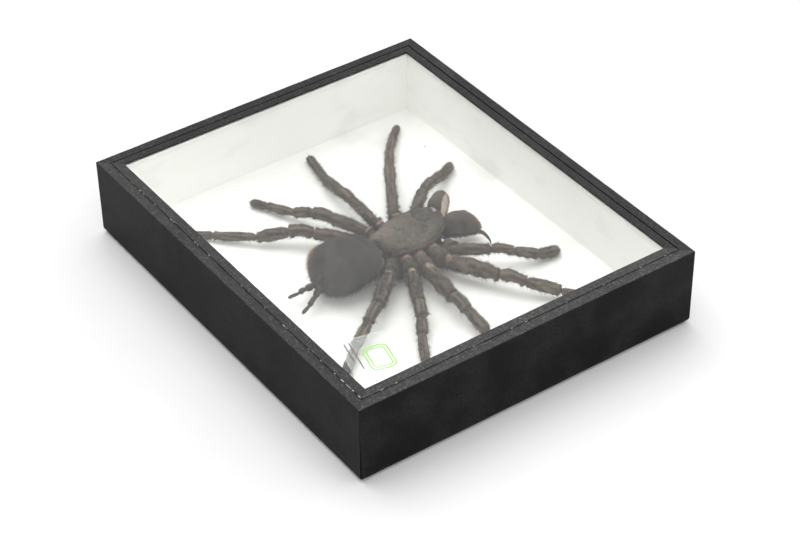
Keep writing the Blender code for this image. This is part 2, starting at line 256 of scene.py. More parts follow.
def piece_of(name, mesh, finish, stands_for=(), smooth=True):
    mesh.polygons.foreach_set("use_smooth", [smooth] * len(mesh.polygons))
    mesh.materials.append(finish.material)
    piece = bpy.data.objects.new(name, mesh)
    scene.collection.objects.link(piece)
    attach(piece, "root")
    if stands_for:
        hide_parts(*stands_for)
    print(f"{name}: {len(mesh.polygons)} faces")
    return piece


def redress(node, finish):
    """Gives a solid of the CAD model its finish."""
    nodes[node].data.materials.clear()
    nodes[node].data.materials.append(finish.material)


# %% [markdown]
# A closed shape has an inside and an outside, and light, bumps and hair need to know which
# is which. Blender's own recalculation makes all faces agree, but on very small shapes it
# can choose the wrong side. The signed volume tells: it is negative when a shape is
# inside out, and then all faces are turned.

# %% Helper that turns faces outwards


def face_outwards(shape):
    bmesh.ops.recalc_face_normals(shape, faces=shape.faces)
    if shape.calc_volume(signed=True) < 0:
        bmesh.ops.reverse_faces(shape, faces=shape.faces)


# %% [markdown]
# The box is wood under matt black paint. Paint on wood is never one flat black: the grain
# stands up a little, the sheen changes along the board, dust catches on it, and small
# pale chips show where a tool or a thumbnail slipped along the groove beside the glass.

# %% Mix the black paint
BLACK = tone(0.0036, 0.0037, 0.0041)
RUBBED = tone(0.0160, 0.0160, 0.0168)
DUST = tone(0.24, 0.235, 0.225)


def black_paint(name, grain_turn, shine, grit):
    """Black paint whose grain runs along one side of the frame. A lower grit shows more dust."""
    paint = Finish(name, Specular_IOR_Level=shine)
    grain = paint.noise(0.9, paint.place((0.12, 1, 1), grain_turn), detail=5.0)
    cloud = paint.noise(22.0, detail=4.0)
    speck = paint.noise(0.28, detail=1.0)
    patch = paint.noise(0.9, detail=2.0)
    pebble = paint.noise(0.6, detail=2.0)
    dust = paint.ramp(paint.times(speck, patch), grit, grit + 0.3, 0.0, 0.45)
    worn = paint.blend(paint.ramp(paint.times(grain, cloud), 0.12, 0.42), BLACK, RUBBED)
    paint.set("Base Color", paint.blend(dust, worn, DUST))
    paint.set("Roughness", paint.ramp(paint.add(grain, cloud), 0.0, 2.0, 0.42, 0.58))
    uneven = paint.add(paint.times(grain, 0.4), pebble)
    paint.bump(paint.add(uneven, speck), 0.12, 0.7)
    return paint


ALONG_X, ALONG_Y = 0.0, math.pi / 2
wall_paint = [
    black_paint("wall_paint_along_x", ALONG_X, 0.08, 0.86),
    black_paint("wall_paint_along_y", ALONG_Y, 0.08, 0.86),
]
RAIL_LOOKS = {
    "front": (ALONG_X, 0.42, 0.40),
    "right": (ALONG_Y, 0.50, 0.34),
    "back": (ALONG_X, 0.26, 0.46),
    "left": (ALONG_Y, 0.26, 0.46),
}
rail_paint = {side: black_paint("rail_paint_" + side, *looks) for side, looks in RAIL_LOOKS.items()}
# This finish is painted shade: near-black and matt, it stands for the deep shade in the groove and on the
# inner faces of the lip.
painted_groove_shade = Finish("painted_groove_shade", Specular_IOR_Level=0.0, Roughness=1.0)
painted_groove_shade.mottle(0.8, (0.0008, 0.0008, 0.0009), (0.003, 0.003, 0.003))

# %% [markdown]
# Each side of the frame is a bar with mitred ends. The bar is a cube stretched to size,
# rounded along its edges with a bevel, and cut by two upright planes at 45 degrees. Then it
# is divided along its length, and its arrises are moved by a few hundredths of a
# millimetre, as sanding leaves them. Straight CAD edges would look like plastic.

# %% Helpers that make a bar


def runs_along_x(edge):
    return abs(edge.verts[0].co.x - edge.verts[1].co.x) > 1.0


def edge_middle(edge):
    return (edge.verts[0].co + edge.verts[1].co) / 2


def bar(length, low, high, ease):
    """A bar along X in millimetres, between corners (y, z), with eased long edges."""
    shape = bmesh.new()
    bmesh.ops.create_cube(shape, size=1.0)
    size = Vector((length, high[0] - low[0], high[1] - low[1]))
    middle = Vector((0.0, (low[0] + high[0]) / 2, (low[1] + high[1]) / 2))
    bmesh.ops.scale(shape, vec=size, verts=shape.verts)
    bmesh.ops.translate(shape, vec=middle, verts=shape.verts)
    for rule, amount in ease:
        edges = [e for e in shape.edges if runs_along_x(e) and rule(edge_middle(e))]
        bmesh.ops.bevel(shape, geom=edges, offset=amount, offset_type="OFFSET", affect="EDGES",
                        segments=4, profile=0.5, material=-1)
    return shape


# %% Helpers that cut and wear a bar


def cut_by(shape, place, facing, **choices):
    """Cuts the whole shape by a plane."""
    whole = shape.verts[:] + shape.edges[:] + shape.faces[:]
    return bmesh.ops.bisect_plane(shape, geom=whole, plane_co=place, plane_no=facing, **choices)


def raise_faces(shape, faces, way):
    """Pulls faces out of a shape."""
    raised = bmesh.ops.extrude_face_region(shape, geom=faces)
    moved = [v for v in raised["geom"] if isinstance(v, bmesh.types.BMVert)]
    bmesh.ops.translate(shape, vec=way, verts=moved)


def add_lip(shape, height, reach):
    """Widens the top of a bar inwards, over the edge of the glass."""
    cut_by(shape, (0, 0, height), (0, 0, 1))
    shape.normal_update()
    upper = [f for f in shape.faces if f.normal.y > 0.9 and f.calc_center_median().z > height]
    raise_faces(shape, upper, (0, reach, 0))
    bmesh.ops.delete(shape, geom=upper, context="FACES_ONLY")


def cut_lengthwise(shape, step):
    """Divides a bar into short lengths, so that its edges can be worn."""
    low = min(v.co.x for v in shape.verts)
    high = max(v.co.x for v in shape.verts)
    for x in np.arange(low + step, high - step / 2, step):
        cut_by(shape, (x, 0, 0), (1, 0, 0))


def mitre(shape, corner_x, corner_y):
    """Cuts both ends at 45 degrees, through the points at the given corner and its mirror image."""
    for way in (-1, 1):
        cut = cut_by(shape, (way * corner_x, corner_y, 0), (way, 1, 0), clear_outer=True)
        rim = [e for e in cut["geom_cut"] if isinstance(e, bmesh.types.BMEdge)]
        bmesh.ops.holes_fill(shape, edges=rim)


def wear(shape, depth, size, seed):
    """Moves points a little, most on convex edges, as sanding and handling do."""
    shape.normal_update()
    for vert in shape.verts:
        amount = noise.noise(vert.co / size + Vector((seed, 0, 0)))
        vert.co += vert.normal * depth * (amount - 1.0)


def set_round(shape, quarter_turns):
    """Turns a front bar to its side of the frame and brings it to metres."""
    rotation = Matrix.Rotation(quarter_turns * math.pi / 2, 4, "Z")
    bmesh.ops.transform(shape, matrix=Matrix.Scale(MM, 4) @ rotation, verts=shape.verts)
    face_outwards(shape)


# %% Helper that lays a bar on one side
HALF_WIDTH, HALF_DEPTH = 90.0, 75.0
SIDES = {
    "front": (0, HALF_WIDTH, HALF_DEPTH),
    "right": (1, HALF_DEPTH, HALF_WIDTH),
    "back": (2, HALF_WIDTH, HALF_DEPTH),
    "left": (3, HALF_DEPTH, HALF_WIDTH),
}


def lay_bar(name, side, inset, low, high, finish, stands_for=(), ease=(), step=None, smooth=False):
    """A bar on one side of the frame. Low and high are (inwards, up) from its outer face."""
    quarter, half_length, outer = SIDES[side]
    shape = bar(2 * (half_length - inset), (-outer + low[0], low[1]), (-outer + high[0], high[1]), ease)
    if step:
        cut_lengthwise(shape, step)
    mitre(shape, half_length - inset, -outer + inset)
    if step:
        wear(shape, WEAR_DEPTH, 3.0, 10 + quarter)
    set_round(shape, quarter)
    piece_from(name, shape, finish, stands_for, smooth)


# %% [markdown]
# The walls have a narrow lip at the top, over the edge of the glass, and their top faces
# are dustier than the rest. At the corners the mitres stand open by a hair up to the height
# of the glass. Above it paint fills them, so there they are shut.

# %% Build the walls
WALL = 3.2
WALL_TOP = 33.7
BOTTOM_ROUND = 2.4
EASED_EDGE = 0.4
WEAR_DEPTH = 0.05
LIP = 0.9
LIP_LOW = 33.3
OPEN_MITRE = 0.22
GLASS_TOP = 33.2
WALL_STEP = 1.5
# Slots above the glass: the paint of the rail, and the painted shade of the groove.
RAIL_PAINT, GROOVE_SHADE_SLOT = 1, 2


def paint_top(piece, finish):
    """Above the glass, level faces get the finish of the rail, and inner ones the painted shade of the
    groove.
    """
    piece.data.materials.append(finish.material)
    piece.data.materials.append(painted_groove_shade.material)
    for face in piece.data.polygons:
        if face.center.z > GLASS_TOP * MM:
            inward = face.normal.x * face.center.x + face.normal.y * face.center.y < 0
            if face.normal.z > 0.5:
                face.material_index = RAIL_PAINT
            elif inward:
                face.material_index = GROOVE_SHADE_SLOT


def close_top(shape, corner_x, outer):
    """Shuts the open mitre at the top, where paint fills it."""
    for vert in shape.verts:
        on_cut = abs(abs(vert.co.x) + vert.co.y + outer - corner_x) < 0.08
        if on_cut and vert.co.z > GLASS_TOP:
            vert.co.x += math.copysign(OPEN_MITRE, vert.co.x)


for side, (quarter, half_length, outer) in SIDES.items():
    ease = [
        (lambda m, y=-outer: m.z < 1 and abs(m.y - y) < 0.01, BOTTOM_ROUND),
        (lambda m, y=-outer: m.z > WALL_TOP - 0.01 and abs(m.y - y) < 0.01, EASED_EDGE),
    ]
    wall = bar(2 * half_length, (-outer, 0.0), (-outer + WALL, WALL_TOP), ease)
    add_lip(wall, LIP_LOW, LIP)
    cut_lengthwise(wall, WALL_STEP)
    mitre(wall, half_length - OPEN_MITRE, -outer)
    wear(wall, WEAR_DEPTH, 6.0, quarter)
    close_top(wall, half_length - OPEN_MITRE, outer)
    for vert in wall.verts:
        vert.co.y = max(vert.co.y, -outer)
    set_round(wall, quarter)
    made = piece_from(f"{side}_wall", wall, wall_paint[quarter % 2], [f"wall_{side}"])
    paint_top(made, rail_paint[side])

redress("base_board", wall_paint[0])

# %% [markdown]
# Four flat strips lie on the glass and keep it in. A narrow groove stays between strip and
# wall. At the back and the left it is wide enough to see into, and a thin near-black sheet
# of painted shade lies in it, for the shade deep in the groove.
# The strips are mitred as well, with softer edges, because they were painted after they
# were cut.

# %% Lay the strips
STRIP_OUTER = WALL + LIP + 0.06
STRIP_INNER = 8.1
STRIP_LOW = 33.3
STRIP_TOP = 34.0
STRIP_STEP = 1.2
GROOVE = {"front": 0.0, "right": 0.0, "back": 0.55, "left": 0.55}
GROOVE_FILL = 0.12
SOFT_EDGES = [(lambda m: m.z > STRIP_TOP - 0.01, 0.15)]

for side, gap in GROOVE.items():
    lay_bar(f"{side}_strip", side, STRIP_OUTER, (STRIP_OUTER + gap, STRIP_LOW), (STRIP_INNER, STRIP_TOP),
            rail_paint[side], [f"strip_{side}"], SOFT_EDGES, STRIP_STEP)
    # In a wide groove lies a thin sheet of painted shade.
    if gap:
        lay_bar(f"{side}_groove_shade_sheet", side, STRIP_OUTER, (WALL + LIP, STRIP_LOW),
                (STRIP_OUTER + gap, STRIP_LOW + GROOVE_FILL), painted_groove_shade, smooth=True)

# %% [markdown]
# Along the groove the paint has chipped off in short dashes, most near the corner by the
# label, and the pale wood shows. Each chip is a thin sliver on the edge, with ragged ends.

# %% Chip the paint along the groove
bare_wood = Finish("bare_wood", Roughness=0.8, Specular_IOR_Level=0.2)
bare_wood.mottle(0.3, (0.24, 0.23, 0.21), (0.66, 0.64, 0.60))
CHIPS_ALONG_X = [
    (-63.2, 0.7), (-60.5, 0.5), (-52.0, 0.4), (-40.4, 0.9), (-38.6, 0.6), (-23.0, 0.7), (-21.2, 0.5),
    (-13.2, 0.6), (9.0, 0.4), (24.7, 0.6), (37.2, 1.3), (38.9, 0.5), (53.0, 0.4), (60.8, 0.7), (69.3, 0.8),
    (73.9, 1.6), (77.6, 2.4), (80.4, 0.9), (84.3, 1.2),
]
CHIPS_ALONG_Y = [
    (-62.5, 1.1), (-56.5, 0.7), (-23.4, 0.6), (-6.6, 0.6), (-0.3, 0.9), (18.0, 0.4), (35.0, 0.4),
    (52.3, 0.6), (64.0, 0.4),
]
CHIP_HEIGHT = STRIP_TOP - 0.10
CHIP_THICK = 0.16

chips = bmesh.new()
for number, (place, length) in enumerate(CHIPS_ALONG_X + CHIPS_ALONG_Y):
    fresh = bmesh.ops.create_uvsphere(chips, u_segments=8, v_segments=6, radius=0.5)["verts"]
    slack = noise.noise(Vector((number * 3.7, 0.5, 0.2)))
    size = Vector((length * 1.5, 0.34 + 0.16 * slack, CHIP_THICK))
    spot = Vector((place, -HALF_DEPTH + STRIP_OUTER + 0.1 * slack, CHIP_HEIGHT))
    if number >= len(CHIPS_ALONG_X):
        size = size.yxz
        spot = Vector((HALF_WIDTH - STRIP_OUTER - 0.1 * slack, place, CHIP_HEIGHT))
    for vert in fresh:
        vert.co *= 1.0 + 0.35 * noise.noise(vert.co * 3.0 + Vector((number, 0, 0)))
    bmesh.ops.scale(chips, vec=size, verts=fresh)
    bmesh.ops.translate(chips, vec=spot, verts=fresh)
bmesh.ops.scale(chips, vec=(MM, MM, MM), verts=chips.verts)
piece_from("paint_chips", chips, bare_wood, smooth=True)

# %% [markdown]
# Inside, everything is white card: the board under the spider and the four liners that
# carry the glass. Card has a faint tooth, and these walls show a few grey smudges where
# fingers touched them. Long low noise gives the smudges and fine noise gives the tooth.

# %% Cut the white card
card = Finish("white_card", Specular_IOR_Level=0.25, Roughness=0.8)
smudge = card.ramp(card.noise(26.0, card.place((1, 1, 2.2)), detail=4.0), 0.62, 1.0)
fibre = card.noise(0.35)
clean = card.blend(card.times(fibre, 0.5), tone(0.965, 0.968, 0.940), tone(0.93, 0.935, 0.905))
card.set("Base Color", card.blend(card.times(smudge, 0.75), clean, tone(0.85, 0.85, 0.82)))
card.bump(fibre, 0.02, 0.4)

LINER_OUTER = WALL + 0.1
LINER_INNER = 7.2
LINER_TOP = 31.1
BOARD_TOP = 4.0
for side in SIDES:
    lay_bar(f"{side}_liner", side, LINER_OUTER, (LINER_OUTER, BOARD_TOP), (LINER_INNER, LINER_TOP),
            card, [f"liner_{side}"])
redress("mounting_board", card)

# %% [markdown]
# The glass is the solid pane of the CAD model with a clear finish: light passes through
# it, bends at both faces, and a little is mirrored. Its colour stays nearly white, with
# the faint green that thin float glass has.

# %% Glaze the frame
clear_glass = Finish("float_glass", Roughness=0.0, IOR=1.47, Transmission_Weight=1.0)
clear_glass.mottle(14.0, (0.992, 0.998, 0.990), (1.0, 1.0, 1.0), detail=4.0)
redress("glass_pane", clear_glass)

# %% [markdown]
# A clear sticker lies on the glass near one corner. It is a thin film with rounded corners,
# a little milky, so what is under it looks paler. It is modelled as a sheet with a thickness,
# because light passes through it. On it is a generic label, without any words: a thin double
# line and two short rules.

# %% Stick the label on
LABEL_SIZE = Vector((22.0, 18.0, 0.15))
LABEL_PLACE = Vector((68.0, -55.0, 33.21))
LABEL_TURN = math.radians(-13)
to_label = Matrix.Scale(MM, 4) @ Matrix.Translation(LABEL_PLACE) @ Matrix.Rotation(LABEL_TURN, 4, "Z")


def rounded_sheet(width, height, corner, thickness):
    """A flat sheet with rounded corners, resting on z = 0."""
    shape = bmesh.new()
    bmesh.ops.create_grid(shape, x_segments=1, y_segments=1, size=0.5)
    bmesh.ops.scale(shape, vec=(width, height, 1), verts=shape.verts)
    bmesh.ops.bevel(shape, geom=shape.verts[:], offset=corner, offset_type="OFFSET", affect="VERTICES",
                    segments=5, profile=0.5, material=-1)
    raise_faces(shape, shape.faces[:], (0, 0, thickness))
    face_outwards(shape)
    return shape


film = Finish("label_film", IOR=1.12, Roughness=0.04, Transmission_Weight=0.86)
film.mottle(3.0, (0.90, 0.93, 0.90), (0.96, 0.97, 0.95), detail=4.0)
film_shape = rounded_sheet(LABEL_SIZE.x, LABEL_SIZE.y, 1.2, LABEL_SIZE.z)
bmesh.ops.transform(film_shape, matrix=to_label, verts=film_shape.verts)
piece_from("sticker_film", film_shape, film, ["label_film"])

# %% [markdown]
# The print is two closed green lines and two grey rules, a fiftieth of a millimetre thick.
# Each line is a thin sheet whose middle is cut out, and the two open rims are bridged, so
# that it is a solid strip of ink and not a picture on the film.

# %% Print the label
PRINT_THICK = 0.02
PRINT_LOW = LABEL_SIZE.z + 0.005


def ink(name, colour):
    """Printing ink, slightly uneven as on a small digital print."""
    return Finish(name, Roughness=0.5).mottle(0.4, colour, [c * 1.35 for c in colour])


def printed_ring(width, height, corner, line):
    """A thin printed line in the shape of a rounded rectangle."""
    shape = rounded_sheet(width, height, corner, PRINT_THICK)
    flat = [f for f in shape.faces if abs(f.normal.z) > 0.9]
    bmesh.ops.inset_region(shape, faces=flat, thickness=line, use_even_offset=True)
    inner = [f for f in flat if f.is_valid]
    bmesh.ops.delete(shape, geom=inner, context="FACES")
    rims = [e for e in shape.edges if e.is_boundary]
    bmesh.ops.bridge_loops(shape, edges=rims)
    return shape


green_ink = ink("green_ink", (0.22, 0.50, 0.07))
grey_ink = ink("grey_ink", (0.10, 0.10, 0.09))
LABEL_LINES = {"label_line_outer": (13.0, 9.6, 2.4, 0.50), "label_line_inner": (10.6, 7.2, 1.6, 0.44)}
for name, sizes in LABEL_LINES.items():
    line_shape = printed_ring(*sizes)
    bmesh.ops.translate(line_shape, vec=(2.0, 2.6, PRINT_LOW), verts=line_shape.verts)
    bmesh.ops.transform(line_shape, matrix=to_label, verts=line_shape.verts)
    face_outwards(line_shape)
    piece_from(name, line_shape, green_ink)

rules = bmesh.new()
for low_y, length in ((-4.6, 15.0), (-6.4, 10.0)):
    fresh = bmesh.ops.create_cube(rules, size=1.0)["verts"]
    bmesh.ops.scale(rules, vec=(length, 0.46, PRINT_THICK), verts=fresh)
    place = (-1.6 + (length - 15.0) / 2, low_y, PRINT_LOW + PRINT_THICK / 2)
    bmesh.ops.translate(rules, vec=place, verts=fresh)
bmesh.ops.transform(rules, matrix=to_label, verts=rules.verts)
piece_from("label_rules", rules, grey_ink)

# %% [markdown]
# The spider is one grown thing, dried flat on the card. It is modelled in its own
# millimetres, head along +Y, and then turned and set down on the card. Each limb is a
# closed skin swept along its joints. A UV sphere is the start: its poles become the two
# ends, and its rings are spread along the limb, so both ends are closed from the first.

# %% Helpers for the spider
SPECIMEN_PLACE = np.array([-0.4, 0.0, 4.0])
SPECIMEN_TURN = math.radians(4.5)


def turned(directions):
    """Directions of the specimen in the frame."""
    c, s = math.cos(SPECIMEN_TURN), math.sin(SPECIMEN_TURN)
    x, y, z = np.asarray(directions, float).T
    return np.stack([c * x - s * y, s * x + c * y, z], 1)


def set_down(points):
    """Specimen millimetres to metres in the frame."""
    return (turned(points) + SPECIMEN_PLACE) * MM


def lumps(points, size, seed=0.0):
    """Smooth noise from -1 to 1 at each point, with lumps about size long."""
    return np.array([noise.noise(Vector(p) / size + Vector((seed, seed, seed))) for p in points]) * 1.6


def unit(vectors):
    return vectors / np.maximum(np.linalg.norm(vectors, axis=-1, keepdims=True), 1e-9)


def clamp(values):
    return np.clip(values, 0, 1)


def bell(distance, width):
    """1 where the distance is 0, and softly less further off."""
    return np.exp(-(distance / width) ** 2)


def oval(x, y, middle, size):
    """A soft oval patch, 1 in its middle."""
    return np.exp(-(((x - middle[0]) / size[0]) ** 2 + ((y - middle[1]) / size[1]) ** 2))


def ball_grid(rings, sides):
    """A UV sphere with, for each point, how far it is from the start and its angle round."""
    shape = bmesh.new()
    bmesh.ops.create_uvsphere(shape, u_segments=sides, v_segments=rings, radius=1.0)
    ball = np.array([v.co for v in shape.verts])
    far = np.arccos(np.clip(-ball[:, 2], -1, 1)) / math.pi
    angle = np.arctan2(ball[:, 1], ball[:, 0])
    return shape, far, angle


def tube_grid(rows, sides):
    """A UV sphere for a tube: for each point its row, whether it is a pole, and its angle."""
    shape, far, angle = ball_grid(rows + 1, sides)
    ring = np.clip(np.rint(far * (rows + 1)).astype(int), 0, rows + 1)
    pole = (ring == 0) | (ring == rows + 1)
    return shape, np.clip(ring - 1, 0, rows - 1), pole, angle


# %% Helper that makes a skin


def skin_of(name, shape, points, finish, slot, stands_for, flow=(0, 0, 0), marks=None):
    """Gives the sphere its final points (specimen mm) and makes the piece."""
    for vert, point in zip(shape.verts, set_down(points)):
        vert.co = point
    face_outwards(shape)
    mesh = bpy.data.meshes.new(name)
    shape.to_mesh(mesh)
    shape.free()
    marks = {key: np.broadcast_to(clamp(values), len(points)) for key, values in (marks or {}).items()}
    for key, values in marks.items():
        layer = mesh.attributes.new(key, "FLOAT", "POINT")
        layer.data.foreach_set("value", values.astype(np.float32))
    piece = piece_of(name, mesh, finish, stands_for)
    flow = turned(np.broadcast_to(flow, points.shape))
    return {"piece": piece, "slot": slot, "flow": flow, "shade": marks.get("shade")}


# %% [markdown]
# The spider's skin is hard, dull and grey-brown. It shows three things at this distance:
# a fine speckle where hairs leave the skin, lengthwise paler streaks where hairs are
# worn off, and soft pinkish skin at the joints. The streaks and joints are marked on the
# mesh as attributes, so that each follows its own limb.

# %% Mix the spider's finishes


def chitin(name, dark, light, worn, soft, speck_mm=0.35, relief_mm=0.16, shine=0.35, rough=(0.45, 0.75)):
    """Hard skin: dark to light by its shade mark, worn streaks, soft and pale joints."""
    made = Finish(name, Specular_IOR_Level=shine)
    speck = made.noise(speck_mm, detail=2.0)
    patch = made.noise(2.6, detail=4.0)
    mixed = made.add(made.times(speck, 0.42), made.times(patch, 0.26))
    mixed = made.add(mixed, made.times(made.attribute("shade"), 0.70))
    redder = tone(light[0] * 1.14, light[1] * 0.95, light[2] * 0.88)
    shell = made.blend(made.noise(9.0, detail=2.0), tone(*light), redder)
    skin = made.blend(made.ramp(mixed, 0.35, 1.05), tone(*dark), shell)
    skin = made.blend(made.times(made.attribute("bare"), 0.8), skin, tone(*worn))
    skin = made.blend(made.attribute("joint"), skin, tone(*soft))
    made.set("Base Color", made.blend(made.attribute("pale"), skin, PALE_EDGE))
    made.set("Roughness", made.ramp(speck, 0.0, 1.0, *rough))
    made.bump(made.add(speck, patch), relief_mm, 0.8)
    return made


JOINT_SKIN = (0.38, 0.24, 0.18)
# The pale tone of the jaws' inner faces is a painted reflection of the white room on their gloss.
JAW_PAINTED_REFLECTION = (0.46, 0.405, 0.345)
VELVET_SOFT = (0.150, 0.118, 0.102)
PALE_EDGE = tone(0.56, 0.47, 0.37)
limb_skin = chitin("limb_skin", (0.010, 0.008, 0.006), (0.105, 0.082, 0.056), (0.23, 0.18, 0.13), JOINT_SKIN)
shield_skin = chitin("shield_skin", (0.016, 0.014, 0.011), (0.106, 0.097, 0.074), (0.20, 0.155, 0.12),
                     JOINT_SKIN, 0.7, 0.30)
jaw_skin = chitin("jaw_skin", (0.014, 0.011, 0.009), (0.080, 0.064, 0.050), (0.15, 0.12, 0.10), JAW_PAINTED_REFLECTION)
velvet_skin = chitin("velvet_skin", (0.018, 0.018, 0.018), (0.060, 0.058, 0.054), (0.12, 0.09, 0.07),
                     VELVET_SOFT, 0.6, 0.10, 0.1, (0.85, 0.95))
membrane = Finish("mouth_membrane", Roughness=0.5)
membrane.mottle(0.7, (0.26, 0.12, 0.10), (0.58, 0.44, 0.42), detail=4.0)
membrane.bump(membrane.noise(0.5), 0.1, 0.7)


def hair_finish(name, dark, light, patchy=0.25):
    """Hair whose colour changes from hair to hair, by its tint, and from patch to patch."""
    made = Finish(name, Specular_IOR_Level=0.3, Roughness=0.6)
    patches = made.ramp(made.noise(2.4, detail=5.0, rough=0.6), 0.36, 0.64)
    mixed = made.add(made.times(made.attribute("tint"), 1.0 - patchy), made.times(patches, patchy))
    made.set("Base Color", made.blend(mixed, tone(*dark), tone(*light)))
    return made


limb_hair = hair_finish("limb_hair", (0.010, 0.008, 0.006), (0.180, 0.144, 0.100), 0.40)
velvet_hair = hair_finish("velvet_hair", (0.014, 0.014, 0.014), (0.104, 0.099, 0.090), 0.60)
straw_hair = hair_finish("straw_hair", (0.14, 0.115, 0.08), (0.38, 0.32, 0.22))
# Dark hair for bristles and tufts; as wool low between the hips and on the webs it is painted shade.
dark_hair_and_painted_shade = hair_finish("dark_hair_and_painted_shade", (0.006, 0.005, 0.005), (0.030, 0.026, 0.022))
orange_hair = hair_finish("orange_hair", (0.14, 0.060, 0.030), (0.55, 0.27, 0.14))

# %% [markdown]
# Hair is what makes this animal look real. It grows from random points on a skin, leans
# towards the tip of the limb and stands a little off it. Short hairs are thin spikes of
# three sides, closed at the root, and long ones have a knee and droop. Hair on a light
# patch of skin is lighter. All hairs of a piece are joined in one mesh made from arrays,
# which is thousands of times faster than making each hair with operators.

# %% Helpers that find the roots


def triangles_of(mesh):
    """The triangles in a fixed order. A sphere's faces come in a new order in each run."""
    triangles = []
    for face in mesh.polygons:
        ring = list(face.vertices)
        first = ring.index(min(ring))
        a, *others = ring[first:] + ring[:first]
        triangles += [(a, b, c) for b, c in zip(others, others[1:])]
    return np.array(sorted(triangles))


def roots_on(piece, count, rng, weight=None):
    """Random points on a skin, with normals, by area. weight thins the growth out."""
    mesh = piece.data
    corners = triangles_of(mesh)
    points = np.zeros(len(mesh.vertices) * 3)
    normals = np.zeros(len(mesh.vertices) * 3)
    mesh.vertices.foreach_get("co", points)
    mesh.vertices.foreach_get("normal", normals)
    points, normals = points.reshape(-1, 3), normals.reshape(-1, 3)
    a, b, c = points[corners[:, 0]], points[corners[:, 1]], points[corners[:, 2]]
    chance = np.linalg.norm(np.cross(b - a, c - a), axis=1)
    if weight is not None:
        chance = chance * np.maximum(weight[corners].mean(1), 0)
    picked = rng.choice(len(corners), count, p=chance / chance.sum())
    mix = rng.dirichlet((1, 1, 1), count)[:, :, None]
    corner = corners[picked]
    return (points[corner] * mix).sum(1), unit((normals[corner] * mix).sum(1)), corner, mix


# %% Helper that joins the spikes
SPIKE = [(0, 1, 3), (1, 2, 3), (2, 0, 3), (0, 2, 1)]
BENT_SPIKE = [(0, 1, 4), (0, 4, 3), (1, 2, 5), (1, 5, 4), (2, 0, 3), (2, 3, 5),
              (3, 4, 6), (4, 5, 6), (5, 3, 6), (0, 2, 1)]
THIRD_TURN = 2.0944
TWO_THIRD_TURN = 4.18879
TINY = 1e-6


def hair_mesh(name, roots, directions, lengths, thick, tints, finish, bend=None):
    """Joins spikes into one piece. With bend, each spike has a knee and droops by it."""
    count = len(roots)
    side = unit(np.cross(directions, [0.31, 0.17, 0.93]))
    other = np.cross(directions, side)
    spread = [side * math.cos(a) + other * math.sin(a) for a in (0.0, THIRD_TURN, TWO_THIRD_TURN)]
    rows = [roots + s * thick[:, None] for s in spread]
    if bend is None:
        faces = SPIKE
        rows.append(roots + directions * lengths[:, None])
    else:
        faces = BENT_SPIKE
        knee = roots + directions * (lengths * 0.55)[:, None]
        rows += [knee + s * (thick * 0.7)[:, None] for s in spread]
        rows.append(knee + unit(directions + bend) * (lengths * 0.45)[:, None])
    per = len(rows)
    points = np.stack(rows, 1).reshape(-1, 3)
    corners = (np.arange(count)[:, None, None] * per + np.array(faces)[None]).reshape(-1)
    mesh = bpy.data.meshes.new(name)
    mesh.vertices.add(len(points))
    mesh.vertices.foreach_set("co", points.ravel())
    mesh.loops.add(len(corners))
    mesh.loops.foreach_set("vertex_index", corners.astype(np.int32))
    mesh.polygons.add(len(corners) // 3)
    mesh.polygons.foreach_set("loop_start", np.arange(0, len(corners), 3, dtype=np.int32))
    mesh.update(calc_edges=True)
    layer = mesh.attributes.new("tint", "FLOAT", "POINT")
    layer.data.foreach_set("value", np.repeat(tints, per).astype(np.float32))
    return piece_of(name, mesh, finish, smooth=False)


# %% Helper that grows hair


def grow(name, skin, count, length_mm, lean, finish, seed, thick_mm, weight=None, curl=None):
    """Hair on a skin: lean is 0 for upright and 1 for lying along the flow."""
    rng = np.random.default_rng(seed)
    roots, normals, corner, mix = roots_on(skin["piece"], count, rng, weight)
    flow = (skin["flow"][corner] * mix).sum(1)
    flow = unit(flow - normals * (flow * normals).sum(1, keepdims=True))
    lean = np.clip(rng.normal(lean, 0.10, count), 0.05, 0.97)[:, None]
    wander = np.cross(normals, flow) * rng.normal(0, 0.28, count)[:, None]
    directions = unit(normals * (1 - lean) + flow * lean + wander * lean)
    lengths = np.clip(rng.normal(1.0, 0.3, count), 0.3, 1.9) * length_mm * MM
    thick = np.full(count, thick_mm * MM) * rng.uniform(0.7, 1.2, count)
    bend = None if curl is None else unit(flow + normals * -0.3) * curl
    start = roots - normals * (0.05 * MM)
    # The hair's tint follows the skin's shade mark, painted shade included, and the painted shade of the near
    # legs darkens their hair once more.
    under = (skin["shade"][corner][:, :, None] * mix).sum((1, 2))
    under = under - skin["shade"].mean() - skin.get("darker", 0.0)
    tints = clamp(0.18 + 0.64 * rng.random(count) + 1.1 * under)
    return hair_mesh(name, start, directions, lengths, thick, tints, finish, bend)


# %% [markdown]
# A limb is a row of stiff sleeves joined by soft skin. Each sleeve starts narrow, swells
# quickly, and overhangs the next one a little where it ends. Behind the hip there is a
# short ring with a pale edge. Dry skin has sunk between its edges, so the section is a
# bit squarer than round, with long shallow troughs. The numbers are the joints from the
# body outwards, measured in the photograph, and the thickness of each sleeve.

